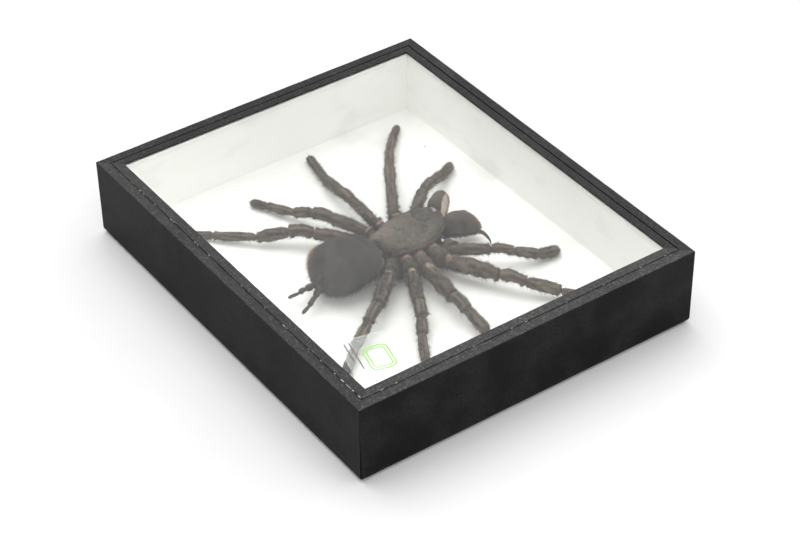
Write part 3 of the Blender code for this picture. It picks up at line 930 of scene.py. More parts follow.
# %% Measure the limbs
LIMBS = {
    "leg_left_1": ([(-5.7, 14.5, 5.5), (-16.5, 16.5, 7), (-32.5, 28.5, 6), (-42, 35.5, 6), (-53, 44.5, 4.5),
                    (-62, 54, 2.5), (-67, 60.5, 1.9)], (5.3, 4.6, 4.8, 4.1, 3.6, 3.2)),
    "leg_left_2": ([(-5.9, 9, 5.3), (-17, 7.5, 7), (-33.8, 10, 6.5), (-42.4, 10.4, 6), (-54.2, 13, 4),
                    (-65, 16.5, 2.5), (-73.7, 19.1, 1.9)], (5.0, 4.6, 4.7, 4.6, 3.7, 3.5)),
    "leg_left_3": ([(-5.9, 3.5, 5.3), (-14, 0.7, 7.3), (-30, -2.8, 6.2), (-38, -6.6, 6.2), (-45.5, -10, 4),
                    (-57.5, -14.5, 2.5), (-64.5, -17.5, 1.9)], (5.0, 5.3, 4.9, 4.5, 3.6, 3.3)),
    "leg_left_4": ([(-5.2, -2, 5.5), (-12, -5.3, 7), (-27, -14.7, 6.7), (-34.5, -21.2, 6.2), (-42.5, -31, 4),
                    (-56, -42, 2.5), (-62.5, -47.5, 1.9)], (5.0, 5.2, 5.1, 4.9, 3.7, 3.3)),
    "leg_right_1": ([(5.7, 14.5, 5.5), (19.5, 12.7, 7), (39, 22.8, 6.5), (48.3, 27.8, 6), (59, 36, 4),
                     (71, 42.5, 2.5), (78.5, 46, 1.9)], (6.6, 6.4, 4.9, 5.0, 3.8, 3.4)),
    "leg_right_2": ([(5.9, 9, 5.3), (17.6, 4.4, 7), (37.5, 0.8, 6.5), (46.5, 0, 6), (58.5, -1, 4),
                     (70.5, -2, 2.5), (79, -3, 1.9)], (6.1, 6.4, 5.0, 4.9, 3.8, 3.4)),
    "leg_right_3": ([(5.9, 3.5, 5.3), (16.5, -2, 7.5), (31.2, -10.8, 6), (38.5, -15.5, 6), (44.5, -20.5, 4),
                     (55.5, -28, 2.5), (62, -32, 1.9)], (5.6, 5.6, 5.0, 4.6, 4.0, 3.5)),
    "leg_right_4": ([(5.2, -2, 5.5), (11.8, -8.1, 7.5), (22.9, -23.8, 6.5), (28, -32.5, 6),
                     (33.8, -43.2, 3.7), (44, -57.5, 2.5), (48.6, -64.5, 1.9)],
                    (5.0, 6.4, 4.9, 4.6, 3.9, 3.5)),
    "palp_left": ([(-3.8, 20.6, 6.3), (-10.7, 22.6, 7.5), (-19.8, 34.5, 7.5), (-23.2, 41.6, 6.5),
                   (-26.2, 49.9, 4.5), (-32, 59.5, 2)], (4.4, 4.8, 4.3, 4.2, 3.9)),
    "palp_right": ([(3.8, 20.6, 6.3), (14.2, 18.3, 6), (26.3, 29.5, 8), (31.4, 36.4, 6.5), (36.5, 44.5, 4),
                    (38, 54.5, 2)], (4.5, 4.7, 3.9, 4.2, 4.4)),
}
COXA, FEMUR, PATELLA = 0, 1, 2
NOWHERE = 50.0
NARROW = 0.74
COAT_DEPTH = 0.20
ROW_STEP = 0.36
FLARE = 0.20
NECK = 0.28
SWELL_LATE = (1.0, 1.15, 0.85, 1.1, 1.1, 1.0)
ARCH = (0.0, 0.12, 0.50, 0.14, 0.0, 0.0)
COLLARS = {FEMUR: [(1.0, 0.6, 0.12), (2.1, 0.4, -0.08)], COXA: [(1.3, 0.7, 0.16), (2.6, 0.4, -0.14)]}
# Painted shade on the two near right legs: their skin and hair are darkened by it.
NEAR_LEG_PAINTED_SHADE = {"leg_right_3": 0.18, "leg_right_4": 0.26}
SOFT_TOP = {"leg_right_1": 6.2, "leg_right_2": 6.6, "leg_right_3": 4.6}
SOFT_SPOT = {"leg_right_1": 0.95, "leg_right_2": 0.4}
PALE_RING = {"leg_right_2": 3.1}
PALE_ARC = {
    "leg_right_3": (1.7, 0.65), "leg_right_4": (2.2, 0.9), "leg_left_1": (-2.6, 0.6),
    "leg_left_2": (-2.8, 0.6), "leg_left_3": (-1.0, 0.5),
}
print("limbs:", len(LIMBS))

# %% [markdown]
# The rows are cross sections along the limb, about a third of a millimetre apart. Each has
# a centre and a radius. The radius swells and narrows with its sleeve, and low collars stand
# on both sides of the joint between hip and thigh, where hard rings overlap.

# %% Lay out the rows of a limb


def limb_rows(joints, thick, narrow):
    """Centre line, radius, sleeve number, place in the sleeve and distance from its ends."""
    joints = np.array(joints, float)
    half = np.array(thick) / 2
    rows = []
    for k in range(len(half)):
        length = np.linalg.norm(joints[k + 1] - joints[k])
        last = k == len(half) - 1
        steps = max(8, round(length / ROW_STEP))
        t = np.arange(steps + (1 if last else 0)) / steps
        start = narrow * min(half[k], half[k - 1]) if k else half[0] * 0.9
        end = half[k] * 0.9 if last else narrow * min(half[k], half[k + 1])
        swell = clamp(np.sin(math.pi * clamp(t) ** SWELL_LATE[min(k, 5)])) ** 0.5
        width = start + (end - start) * t
        width = width + (half[k] - width) * swell
        if not last:
            width = width + FLARE * half[k] * bell((1 - t) * length - 0.95, 0.6)
        if k > 0:
            width = width * (1 - NECK * bell(t * length, 0.55))
        for place, spread, rise in COLLARS.get(k, []):
            from_edge = (1 - t) * length if k == COXA else t * length
            width = width * (1 + rise * bell(from_edge - place, spread))
        centre = joints[k] + (joints[k + 1] - joints[k]) * t[:, None]
        centre[:, 2] += ARCH[min(k, 5)] * half[k] * np.sin(math.pi * t)
        rows.append(np.column_stack([centre, width, np.full(len(t), k), t, t * length, (1 - t) * length]))
    return np.concatenate(rows)


def soften(rows, passes):
    for _ in range(passes):
        rows[1:-1] = (rows[:-2] + 2 * rows[1:-1] + rows[2:]) / 4
    return rows


# %% [markdown]
# Four marks carry the look of a limb to its finish. Joint is soft reddish skin, pale is the
# light edge of a hard ring, bare is where hairs are worn off, and shade runs from dark to
# light: painted shade darkens the creases at the joints and the flanks and undersides, and
# the ridges and knobs are lighter. The relief of the skin moves the same marks.

# %% Mark the skin of a limb


def limb_marks(name, k, gaps, section, relief):
    """Where a limb is soft, pale, worn and darkened by painted shade. The gaps are from both ends of the
    sleeve.
    """
    start_gap, end_gap = gaps
    c, s, size = section
    ridge, knobs, flute, coarse, middle = relief
    on_femur = k == FEMUR
    joint = (k > FEMUR) * 0.30 * bell(start_gap, 0.5)
    joint = np.maximum(joint, on_femur * 0.22 * bell(start_gap, 0.9) * (s > -0.2))
    spot = bell(start_gap - 1.5, 1.1) * clamp(s * 1.4 - 0.3)
    joint = np.maximum(joint, on_femur * SOFT_SPOT.get(name, 0.0) * spot)
    top_patch = bell(start_gap - SOFT_TOP.get(name, NOWHERE), 1.0) * clamp(s) ** 2
    joint = np.maximum(joint, (k == COXA) * 0.70 * top_patch)

    from_hip = np.where(k == COXA, -end_gap, np.where(on_femur, start_gap, 2 * NOWHERE))
    arc_place, arc_strength = PALE_ARC.get(name, (NOWHERE, 0.0))
    arc = bell(from_hip - arc_place - 0.9 * c ** 2, 0.34) * clamp((s - 0.50) / 0.35)
    from_ring = np.hypot(from_hip - PALE_RING.get(name, NOWHERE), c * size)
    ring_mark = bell(from_ring - 0.95, 0.28) * (s > 0)
    pale = (arc_strength * arc + 0.8 * ring_mark) * (1.0 + 0.4 * knobs)

    patella_lines = bell(np.abs(c) - 0.45, 0.15) * (s > 0) * (k == PATELLA)
    bare = np.maximum(patella_lines * 0.8, 0.6 * clamp(ridge + 0.4 * flute)) * middle
    # Painted shade: darker in the creases at both ends of a sleeve, and on the flanks and the underside.
    crease = bell(np.minimum(start_gap, end_gap), 0.4) * np.where(k == COXA, 0.5, 1.0)
    shade = 0.62 + 0.40 * ridge + 0.35 * knobs + 0.28 * flute + 0.20 * coarse - 0.6 * crease
    shade = shade - 0.35 * clamp(0.55 - s) - NEAR_LEG_PAINTED_SHADE.get(name, 0.0)
    return {"joint": joint * (0.7 + 0.5 * knobs), "pale": pale, "bare": bare, "shade": shade}


# %% [markdown]
# The skin is wrapped round the rows. Six long troughs, fine ridges, knobs and broad lumps
# make it uneven. They are noise measured on the skin as if it were a tube of even thickness,
# so the ridges run along the limb and don't crowd where it is thin.

# %% Sweep the limbs
LIMB_SIDES = 34
ABOVE_CARD = 0.02


def limb_skin_piece(name, joints, thick, seed, slot="dark_chitin", stands_for=None, narrow=NARROW,
                    finish=limb_skin):
    """Sweeps one closed skin along the joints of a limb."""
    rows = limb_rows(joints, thick, narrow)
    centre = soften(rows[:, :3].copy(), 4)
    radius, sleeve, within, from_start, to_end = rows[:, 3:].T
    shape, row, pole, angle = tube_grid(len(centre), LIMB_SIDES)
    along = unit(np.gradient(centre, axis=0))
    across = unit(np.cross([0.0, 0.0, 1.0], along))
    upward = np.cross(along, across)
    distance = np.concatenate([[0], np.cumsum(np.linalg.norm(np.diff(centre, axis=0), axis=1))])
    closing = np.sqrt(np.clip((distance[-1] - distance) / radius[-1], 0.02, 1)) ** 0.9
    c, s = np.cos(angle), np.sin(angle)
    k, t = sleeve[row], within[row]

    def pattern(thickness, stretch, size, number):
        """Lumps on the skin as if it were rolled to a tube of this thickness."""
        rolled = np.column_stack([c * thickness, s * thickness, distance[row] * stretch])
        return lumps(rolled, size, seed + number)

    middle = (k > 0) * clamp(np.sin(math.pi * t)) ** 0.5
    flute = np.cos(angle * 6 + 1.3 * pattern(0.4, 1, 4.0, 9)) * middle * (narrow == NARROW)
    ridge = pattern(1.5, 0.13, 0.8, 1) * middle
    coarse = pattern(2.2, 1, 2.6, 3)
    knobs = pattern(2.2, 1, 1.0, 5)
    size = ((radius - (COAT_DEPTH if name in LIMBS else 0.0)) * closing)[row]
    size = size * (1 + 0.13 * coarse + 0.10 * knobs + 0.10 * ridge + 0.05 * flute) * np.where(pole, 0, 1)
    points = centre[row] + across[row] * (c * size * 0.97)[:, None] + upward[row] * (s * size * 1.03)[:, None]
    points[:, 2] = np.maximum(points[:, 2], ABOVE_CARD)
    gaps = from_start[row], to_end[row]
    marks = limb_marks(name, k, gaps, (c, s, size), (ridge, knobs, flute, coarse, middle))
    skin = skin_of(name + "_skin", shape, points, finish, slot, [name] if stands_for is None else stands_for,
                   along[row], marks)
    skin.update(sleeve=k + t, up=s, gap=np.minimum(*gaps), darker=NEAR_LEG_PAINTED_SHADE.get(name, 0.0))
    return skin


limb_skins = {}
for seed, (name, (joints, thick)) in enumerate(LIMBS.items()):
    limb_skins[name] = limb_skin_piece(name, joints, thick, float(seed * 7))

# %% [markdown]
# Hair on a limb comes in four kinds: a close coat of short hairs, longer bristles that
# stand out and make the ragged outline, a thick brush under and round the last sleeves,
# on which the animal walked, and dark wool low between the hips, which fills the gaps
# with painted shade.

# %% Grow the hair of the limbs
for seed, (name, skin) in enumerate(limb_skins.items()):
    last = skin["sleeve"].max()
    foot = clamp((skin["sleeve"] - (last - 2.1)) / 1.2)
    coat = 1.0 - 0.8 * (skin["sleeve"] < 0.9) - 0.6 * bell(skin["gap"], 0.5) + foot * 0.5
    bristle = 0.2 + (skin["sleeve"] > 1) * (0.5 + 1.0 * (skin["up"] < 0.1))
    # Dark wool low between the hips: painted shade in the gaps between them.
    hip = (skin["sleeve"] < 1.25) * (skin["sleeve"] > 0.3) * (skin["up"] < 0.35) + TINY
    grow(name + "_coat", skin, 8200, 0.55, 0.84, limb_hair, 100 + seed, 0.040, coat)
    grow(name + "_bristles", skin, 1500, 1.7, 0.50, limb_hair, 200 + seed, 0.044, bristle, 0.7)
    grow(name + "_brush", skin, 2400, 0.62, 0.55, limb_hair, 300 + seed, 0.036, foot ** 2 + TINY)
    grow(name + "_hip", skin, 900, 1.7, 0.40, dark_hair_and_painted_shade, 350 + seed, 0.060, hip)

# %% [markdown]
# The front body is one hard shield, domed like a low roof. A short groove lies in its
# middle, faint furrows run out from it between the legs, and two deeper ones part off the
# raised head. They are pressed into the dome with a formula: for each groove, points near
# its line sink by a bell curve. The rim folds out a little, as on the real shield.

# %% Helpers that make a pod


def smooth_rows(stations, places):
    """Values between the stations, on a smooth curve that never overshoots them."""
    table = np.array(stations, float)
    at = table[:, 0]
    step = np.diff(table[:, 1:], axis=0) / np.diff(at)[:, None]
    before, after = step[:-1], step[1:]
    agree = before * after > 0
    mean = np.where(agree, 2 * before * after / np.where(agree, before + after, 1), 0)
    slopes = np.vstack([step[:1], mean, step[-1:]])
    index = np.clip(np.searchsorted(at, places) - 1, 0, len(at) - 2)
    gap = (at[index + 1] - at[index])[:, None]
    share = (places - at[index])[:, None] / gap
    here, there = table[index, 1:], table[index + 1, 1:]
    s2, s3 = share ** 2, share ** 3
    return ((2 * s3 - 3 * s2 + 1) * here + (s3 - 2 * s2 + share) * gap * slopes[index]
            + (3 * s2 - 2 * s3) * there + (s3 - s2) * gap * slopes[index + 1])


def pod(stations, rings, sides, rim=None, square=1.0):
    """A sphere reshaped to stations of half width, top and underside along Y."""
    shape, far, angle = ball_grid(rings, sides)
    first, last = stations[0][0], stations[-1][0]
    y = first + (last - first) * (1 - np.cos(math.pi * far)) / 2
    half, top, under = smooth_rows(stations, np.clip(y, first, last)).T
    c, s = np.cos(angle), np.sin(angle)
    c = np.sign(c) * np.abs(c) ** square
    s = np.sign(s) * np.abs(s) ** square
    pole = (far < 1e-4) | (far > 1 - 1e-4)
    middle = (top + under) / 2 if rim is None else np.clip(rim, under, top)
    z = np.where(s > 0, middle + (top - middle) * s, middle + (middle - under) * s)
    z = np.where(pole, (top + under) / 2, z)
    x = np.where(pole, 0.0, -np.maximum(half, 0.02) * c)
    return shape, np.stack([x, y, z], 1), s


# %% Helpers that press grooves


def to_line(x, y, start, end):
    """Distance from a line between two points, and the share along it."""
    a, b = np.array(start, float), np.array(end, float)
    way = b - a
    t = clamp(((x - a[0]) * way[0] + (y - a[1]) * way[1]) / (way @ way))
    return np.hypot(x - a[0] - way[0] * t, y - a[1] - way[1] * t), t


def press(x, y, line, depth, width):
    """How far a groove along a line of points sinks the surface."""
    near = np.full(len(x), 99.0)
    for start, end in zip(line, line[1:]):
        near = np.minimum(near, to_line(x, y, start, end)[0])
    return depth * bell(near, width)


# %% Model the shield
CARAPACE = [(-4.0, 0, 11.2, 10.8), (-3.5, 3.6, 12.4, 9.8), (-1, 6.9, 13.6, 9.3), (2.5, 8.8, 14.7, 9.1),
            (7, 10.2, 15.0, 9.0), (12, 10.6, 15.0, 9.0), (16, 10.0, 15.3, 9.0), (19, 8.7, 15.8, 9.1),
            (22, 7.0, 15.6, 9.3), (24.6, 4.9, 14.3, 9.8), (26, 2.7, 13.2, 10.6), (26.5, 0, 12.0, 12.0)]
CARAPACE_RIM = 9.6
FOVEA = (-0.8, 4.6)
FOVEA_LINE = [(-2.3, 5.0), (-1.5, 4.6), (-0.7, 4.4), (0.2, 4.5), (0.9, 4.9)]
REAR_SKEW = 2.6
HUMP = (0.1, 23.2)
HUMP_SIZE = (1.5, 1.1)
HUMP_HEIGHT = 0.75
PALE_EYE = (1.05, 22.4)
HEAD_GROOVES = [
    [(-2.6, 5.6), (-5.0, 10.0), (-6.6, 14.5), (-8.6, 18.5)],
    [(0.4, 5.6), (3.6, 10.0), (5.8, 14.5), (8.0, 18.5)],
]
HEAD_LINE = [(-6.6, 18.4), (-5.6, 16.2), (-3.4, 14.8), (-0.9, 14.1), (1.4, 14.4), (3.0, 15.8), (3.4, 17.9)]
SIDE_FURROWS = [(172, 8.6), (148, 9.2), (205, 7.6), (238, 6.2), (8, 9.0), (32, 9.6), (-25, 8.0), (-58, 6.4)]

shape, points, up = pod(CARAPACE, 110, 150, rim=CARAPACE_RIM)
x, y, z = points.T
above = clamp(up)
inner = clamp(above * 2.2)
sink = press(x, y, FOVEA_LINE, 0.6, 0.38)
sink += press(x, y, [FOVEA, (-0.8, 4.7)], 0.25, 2.2)
for line in HEAD_GROOVES:
    sink += press(x, y, line, 0.20, 0.9)
for degrees, reach in SIDE_FURROWS:
    way = np.array([math.cos(math.radians(degrees)), math.sin(math.radians(degrees))])
    start, end = np.array(FOVEA) + way * 2.2, np.array(FOVEA) + way * reach
    near, share = to_line(x, y, start, end)
    sink += 0.20 * bell(near, 0.9) * np.sin(math.pi * clamp(share * 0.85 + 0.12)) ** 0.5
head_line = press(x, y, HEAD_LINE, 1.0, 0.50)
sink += 0.40 * head_line
rim_fold = (bell(above - 0.12, 0.06) + 0.8 * bell(above - 0.33, 0.06)) * (up > 0)
z = z - sink * inner + HUMP_HEIGHT * oval(x, y, HUMP, HUMP_SIZE) * inner - 0.38 * rim_fold
x = x - REAR_SKEW * clamp((0.8 - y) / 4.8) ** 1.3
points = np.stack([x, y, z], 1)
rough = lumps(points, 3.2, 3.0) * 0.16 + lumps(points, 1.1, 4.0) * 0.11 + lumps(points, 0.5, 5.0) * 0.04
points[:, 2] += rough * inner

# %% [markdown]
# The shield's marks follow its form. The grooves and the rim folds are darkened by painted
# shade, the raised head is dark, the back is worn, the rim is rust-coloured with a light line
# over it, and the pale eye at the front has a light arc behind it.

# %% Mark and set down the shield
head = clamp((y - 14.6) / 1.5) * clamp((4.6 - x) / 1.5)
front_half = clamp((y - 7.0) / 6.0)
eye_shadow = bell(np.hypot(x - HUMP[0], y - HUMP[1]), 2.6)
from_eye = np.hypot(x - PALE_EYE[0], y - PALE_EYE[1])
towards_rear_left = (0.59 * (y - PALE_EYE[1]) - 0.80 * (x - PALE_EYE[0])) / np.maximum(from_eye, 0.01)
eye_arc = bell(from_eye - 1.5, 0.28) * clamp((towards_rear_left - 0.5) / 0.3)
red_patch = 0.18 * oval(x, y, (9.3, 10.6), (1.4, 2.0))
rusty_rim = 0.40 * bell(above - 0.02, 0.07)
yellow_corner = 0.16 * oval(x, y, (-4.6, -2.9), (1.6, 1.2))
worn_back = 0.45 * oval(x, y, (-2.5, 1.5), (4.0, 4.0))
# Painted shade: the grooves and the rim folds are darker, and deeper grooves darker still.
dark = 0.30 * front_half + 0.50 * sink + 0.50 * head_line + 0.32 * head + 0.55 * eye_shadow + 0.70 * rim_fold
dark += 0.35 * press(x, y, FOVEA_LINE, 1.0, 0.5)
mottled = lumps(points, 4.0, 31.0) * 0.26 + lumps(points, 1.0, 32.0) * 0.34
marks = {
    "joint": np.maximum(rusty_rim, red_patch),
    "pale": np.maximum(0.7 * eye_arc, yellow_corner),
    "bare": worn_back - sink * 0.6,
    "shade": 0.76 - dark + 0.40 * bell(above - 0.22, 0.045) + mottled,
}
away = points[:, :2] - np.array(FOVEA)
flow = np.stack([away[:, 0] * 0.5, -3.0 + away[:, 1] * 0.1, np.zeros(len(x))], 1)
shield = skin_of("shield", shape, points, shield_skin, "carapace_brown", ["carapace"], unit(flow), marks)
straw_corner = oval(x, y, (-4.4, -2.9), (1.3, 0.9)) * (up > 0)
edge_growth = bell(above - 0.03, 0.14) + 1e-4
coat_growth = 1.0 - 0.85 * bell(above - 0.22, 0.20)

# %% [markdown]
# Below, the body is closed by the breastplate. Nobody sees it in the frame, so it is a plain
# pod of the same kind as the shield.

# %% Model the breastplate
BACKWARDS = (0.0, -1.0, 0.0)
STERNUM = [(-3, 0, 8, 8), (-2, 2.6, 10.2, 4.6), (1.5, 4.6, 10.4, 3.3), (7, 5.3, 10.4, 3.0),
           (12, 5.2, 10.4, 3.0), (16, 4.2, 10.4, 3.2), (19.5, 2.9, 10.4, 4.0), (22, 0, 8, 8)]
shape, points, _ = pod(STERNUM, 50, 48)
points[:, 2] += lumps(points, 2.5, 8.0) * 0.12
skin_of("breastplate", shape, points, limb_skin, "carapace_brown", [], BACKWARDS,
        {"joint": 0.5 * (np.abs(points[:, 0]) > 3.5), "bare": 0.0, "shade": 0.4})

# %% [markdown]
# The eyes sit in a tight group on one low hump at the front of the shield. Most are dark
# beads. The large pale one is an eye of the rear row that has dried pale and pinkish, with
# a small pale one beside it.

# %% Set the eyes
eye_gloss = Finish("eye_gloss", Roughness=0.08)
eye_gloss.mottle(0.4, (0.008, 0.006, 0.005), (0.20, 0.16, 0.12))
EYE_SETS = {
    "eyes_dark": (eye_gloss, [(-0.35, 23.6, 0.34), (0.60, 23.6, 0.34), (-1.15, 24.2, 0.28),
                              (1.35, 24.2, 0.28), (-0.80, 22.9, 0.22), (0.10, 21.9, 0.48)]),
    "eyes_pale": (membrane, [(*PALE_EYE, 0.78), (-1.20, 23.1, 0.30)]),
}
for name, (finish, places) in EYE_SETS.items():
    beads = bmesh.new()
    for ex, ey, er in places:
        roof = float(smooth_rows(CARAPACE, np.array([ey]))[0][1])
        hump = roof + HUMP_HEIGHT * oval(ex, ey, HUMP, HUMP_SIZE)
        bead = bmesh.ops.create_uvsphere(beads, u_segments=16, v_segments=10, radius=er * MM)["verts"]
        place = Vector(set_down([(ex, ey, hump - 0.14)])[0])
        bmesh.ops.translate(beads, vec=place, verts=bead)
    piece_from(name, beads, finish, smooth=True)

# %% [markdown]
# The abdomen is soft in life and has dried to a bag of dull grey velvet, a little
# wrinkled towards the waist and flattened behind. Its coat is so close that no single
# hair shows, except at the back, where longer rust-coloured hair stands out.

# %% Model the abdomen
ABDOMEN = [(-34.3, 0, 10.5, 10.5), (-34.0, 4.6, 14.8, 6.0), (-32.8, 8.2, 18.0, 3.6), (-29.6, 10.6, 20.2, 2.0),
           (-25, 11.5, 21.0, 1.5), (-20, 11.3, 21.0, 1.6), (-15, 10.3, 19.9, 2.2), (-11, 9.2, 17.6, 2.6),
           (-8, 6.8, 14.8, 3.6), (-6.4, 3.6, 12.2, 6.0), (-6, 0, 9, 9)]
REAR_EDGE = [(-11.0, -22.2), (-5.7, -29.1), (1.7, -36.1)]
COAT_ROOM = 0.15

shape, points, up = pod(ABDOMEN, 90, 96, square=0.93)
x, y, z = points.T
outward = unit(points - np.array([0, -21, 11.0]))
dents = lumps(points, 7.0, 11.0) * 0.28 + lumps(points, 2.4, 12.0) * 0.10 + lumps(points, 0.8, 13.0) * 0.04
folds = np.sin(y * 2.1 + lumps(points, 4.0, 14.0)) * clamp((y + 15) / 6) * 0.55
points = points + outward * (dents + folds)[:, None] - outward * COAT_ROOM
points[:, 2] = np.maximum(points[:, 2], 0.3)
x, y, z = points.T
edge_line = press(x, y, REAR_EDGE, 1.0, 0.5) * (up > 0)
near_waist = clamp((y + 9.5) / 3)
flank = clamp((y + 15) / 4) * clamp((13 - z) / 4)
behind = clamp(((-11.0 - x) * 0.73 + (-22.2 - y) * 0.68) / 2.5 + 0.5)
points[:, 2] -= 0.30 * edge_line
mottled = 0.3 * lumps(points, 5.0, 33.0) + 0.2 * lumps(points, 1.6, 34.0)
# Where the shade mark follows the relief it is painted shade: darker in the crease of the rear edge and in
# the troughs of the folds, lighter on their crests.
marks = {"joint": 0.7 * flank + 0.4 * near_waist, "bare": 0.15 * behind,
         "shade": 0.55 + mottled + 0.8 * folds - 0.6 * edge_line}
flow = unit(np.stack([x * 0.04, -np.ones(len(y)), (z - 11) * 0.02], 1))
velvet = skin_of("abdomen_bag", shape, points, velvet_skin, "abdomen_velvet", ["abdomen"], flow, marks)
rear = clamp((-y - 24.0) / 4) * clamp((-x - 5.0) / 4) + 0.02 * clamp((-y - 31.0) / 2)
low_side = clamp((9.0 - z) / 4) * (x > 0)
tufted = low_side * (x > 2) * clamp((y + 26.0) / 6) * clamp(lumps(points, 1.6, 37.0) + 0.2)

# %% [markdown]
# A thin waist joins the two halves of the body. Two long spinnerets stand out behind: they
# are jointed like legs, so the helper of the limbs sweeps them too, with hardly any necks.

# %% Model the waist and the spinnerets
WAIST = [(-10.5, 0, 7.6, 7.6), (-9.6, 1.7, 9.4, 5.8), (-7.5, 1.9, 9.5, 5.7), (-5.0, 1.9, 9.5, 5.7),
         (-3.2, 1.2, 8.8, 6.4), (-2.6, 0, 7.6, 7.6)]
shape, points, _ = pod(WAIST, 30, 28)
points[:, 2] += lumps(points, 1.2, 15.0) * 0.1
skin_of("waist", shape, points, limb_skin, "abdomen_velvet", [], BACKWARDS,
        {"joint": 0.35, "bare": 0.0, "shade": 0.5})

SPINNERETS = {
    "left": [(-1.6, -32, 6.5), (-1.9, -34.8, 6.4), (-2.7, -37.8, 5.9), (-3.2, -40.6, 5.1), (-5, -44.4, 3.7)],
    "right": [(1.4, -32, 6.5), (1.5, -35, 6.4), (3, -37.6, 5.7), (4.8, -42, 4.6), (5.6, -46, 3.5)],
}
SPINNERET_THICK = (2.5, 2.2, 1.8, 1.25)
spinnerets = {}
for seed, (side, path) in enumerate(SPINNERETS.items()):
    name = f"spinneret_{side}"
    spinnerets[name] = limb_skin_piece(name, path, SPINNERET_THICK, 90.0 + seed, "abdomen_velvet", [],
                                       0.88, velvet_skin)

# %% [markdown]
# Each jaw is a stout pod with a flat inner face. The two lie spread apart here. The right
# one shows its dark outer side, with bristles along its lower edge and a rust-coloured edge
# towards its tip. The left one shows its inner face with a rust-coloured fringe. The inner
# faces are painted pale: a painted reflection of the white room on their gloss.

# %% Measure the jaws
CHELICERA = {
    "left": [(-0.6, 0, 0.4, -0.6), (0.2, 3.0, 3.0, -3.4), (2, 4.0, 4.2, -4.6), (5, 4.1, 4.7, -4.9),
             (8, 3.5, 4.5, -4.9), (10.5, 2.9, 3.7, -4.7), (12.2, 2.2, 2.4, -4.4), (13.2, 1.2, 0.4, -3.8),
             (13.5, 0, -1.8, -1.8)],
    "right": [(-0.6, 0, 0.4, -0.6), (0.2, 2.0, 3.0, -3.4), (2, 3.1, 4.3, -4.6), (5, 3.6, 5.2, -4.9),
              (8, 3.6, 4.9, -4.9), (10.8, 3.1, 3.1, -5.0), (13.0, 2.1, 0.4, -4.9), (14.4, 1.0, -2.0, -4.6),
              (14.8, 0, -3.4, -3.4)],
}
INNER_FACE = {"left": 2.3, "right": 2.70}
INNER_SHARE = {"left": 0.88, "right": 0.60}
INNER_DOME = {"left": 0.25, "right": 0.48}
JAW_PLACES = {"left": (-3.2, 27.0, 9.4, 38, -8), "right": (3.1, 25.4, 8.4, -28, 0)}
FANG_PATHS = {
    "left": [(-11.0, 37.5, 6.9), (-11.4, 38.4, 5.5), (-11.2, 38.1, 4.1), (-9.9, 36.3, 3.1),
             (-8.4, 34.4, 2.8), (-6.8, 32.6, 3.1)],
    "right": [(8.6, 35.0, 5.6), (9.8, 36.1, 5.0), (11.5, 36.6, 4.5), (13.0, 37.6, 4.0),
              (14.8, 37.7, 3.5), (16.5, 37.6, 2.8), (18.4, 36.9, 1.7)],
}
FANG_THICK = {"left": np.array([1.9, 1.8, 1.5, 1.2, 0.8, 0.25]),
              "right": np.array([2.5, 2.2, 1.8, 1.5, 1.25, 0.85, 0.25])}


def hang(points, side):
    """Jaw millimetres to specimen millimetres."""
    jx, jy, jz, _, _ = JAW_PLACES[side]
    return swing(points, side) + np.array([jx, jy, jz])


def swing(directions, side):
    """Directions of the jaw in the specimen."""
    _, _, _, spread, roll = JAW_PLACES[side]
    turn = Matrix.Rotation(math.radians(spread), 3, "Z") @ Matrix.Rotation(math.radians(roll), 3, "Y")
    return directions @ np.array(turn).T


def spread_along(path, values, count):
    """A smooth path through points, with the values carried along it."""
    path = np.array(path, float)
    at = np.concatenate([[0], np.cumsum(np.linalg.norm(np.diff(path, axis=0), axis=1))])
    table = np.column_stack([at, path, values])
    places = np.linspace(0, at[-1], count)
    rows = smooth_rows(table, places)
    return rows[:, :3], rows[:, 3]


# %% Model the jaws
jaws = {}
for side, outwards in (("left", -1), ("right", 1)):
    shape, points, up = pod(CHELICERA[side], 64, 60, square=0.95)
    x, y, z = points.T
    half = np.maximum(smooth_rows(CHELICERA[side], y)[:, 0], 0.0)
    inner_plane = np.minimum(half * INNER_SHARE[side], INNER_FACE[side])
    beyond = np.maximum(-x - inner_plane, 0.0)
    flat_side = clamp(beyond / 0.4)
    x = np.where(beyond > 0, -inner_plane - INNER_DOME[side] * beyond, x)
    points = np.stack([x, y, z], 1)
    bulge = lumps(points, 2.6, 21.0 + outwards) * 0.12 + lumps(points, 0.8, 23.0) * 0.04
    points = points + unit(points - np.array([0, 6.5, 0])) * bulge[:, None]
    # The inner face is painted pale, as a painted reflection of the white room.
    painted_face_reflection = flat_side * clamp((z + 3.4) / 1.2)
    marks = {
        "joint": painted_face_reflection * 0.8,
        "pale": 0.5 * painted_face_reflection * (1 - clamp((y - 2.5) / 4)),
        "bare": 0.25 * clamp(up) * np.sin(math.pi * clamp(y / 13.4)),
        "shade": 0.5 + lumps(points, 2.5, 35.0) * 0.25 + lumps(points, 0.8, 36.0) * 0.15,
    }
    points[:, 0] *= outwards
    low_edge = bell(up + 0.88, 0.20) * (x > -0.5) * (y > 1.0)
    rim_band = bell(beyond - 0.2, 0.25) * (beyond > 0.02)
    inner_edge = rim_band * ((z < 0.5) * (1.6 - y / 12) if side == "left" else (y > 7.0) * (z > -4.0))
    forward = swing(np.tile([0.0, 0.9, -0.45], (len(x), 1)), side)
    downward = swing(np.tile([0.5 * outwards, 0.25, -1.0], (len(x), 1)), side)
    skin = skin_of(f"jaw_{side}", shape, hang(points, side), jaw_skin, "dark_chitin", [f"chelicera_{side}"],
                   forward, marks)
    skin.update(low=low_edge, inner=inner_edge, flat=flat_side, down=turned(downward))
    jaws[side] = skin

# %% [markdown]
# A fang is a curved horn of shining black, thick at its root and as sharp as a thorn. It is
# swept along a smooth path with a shallow groove on each side. The right one is folded out,
# and the left one lies folded back under its jaw.

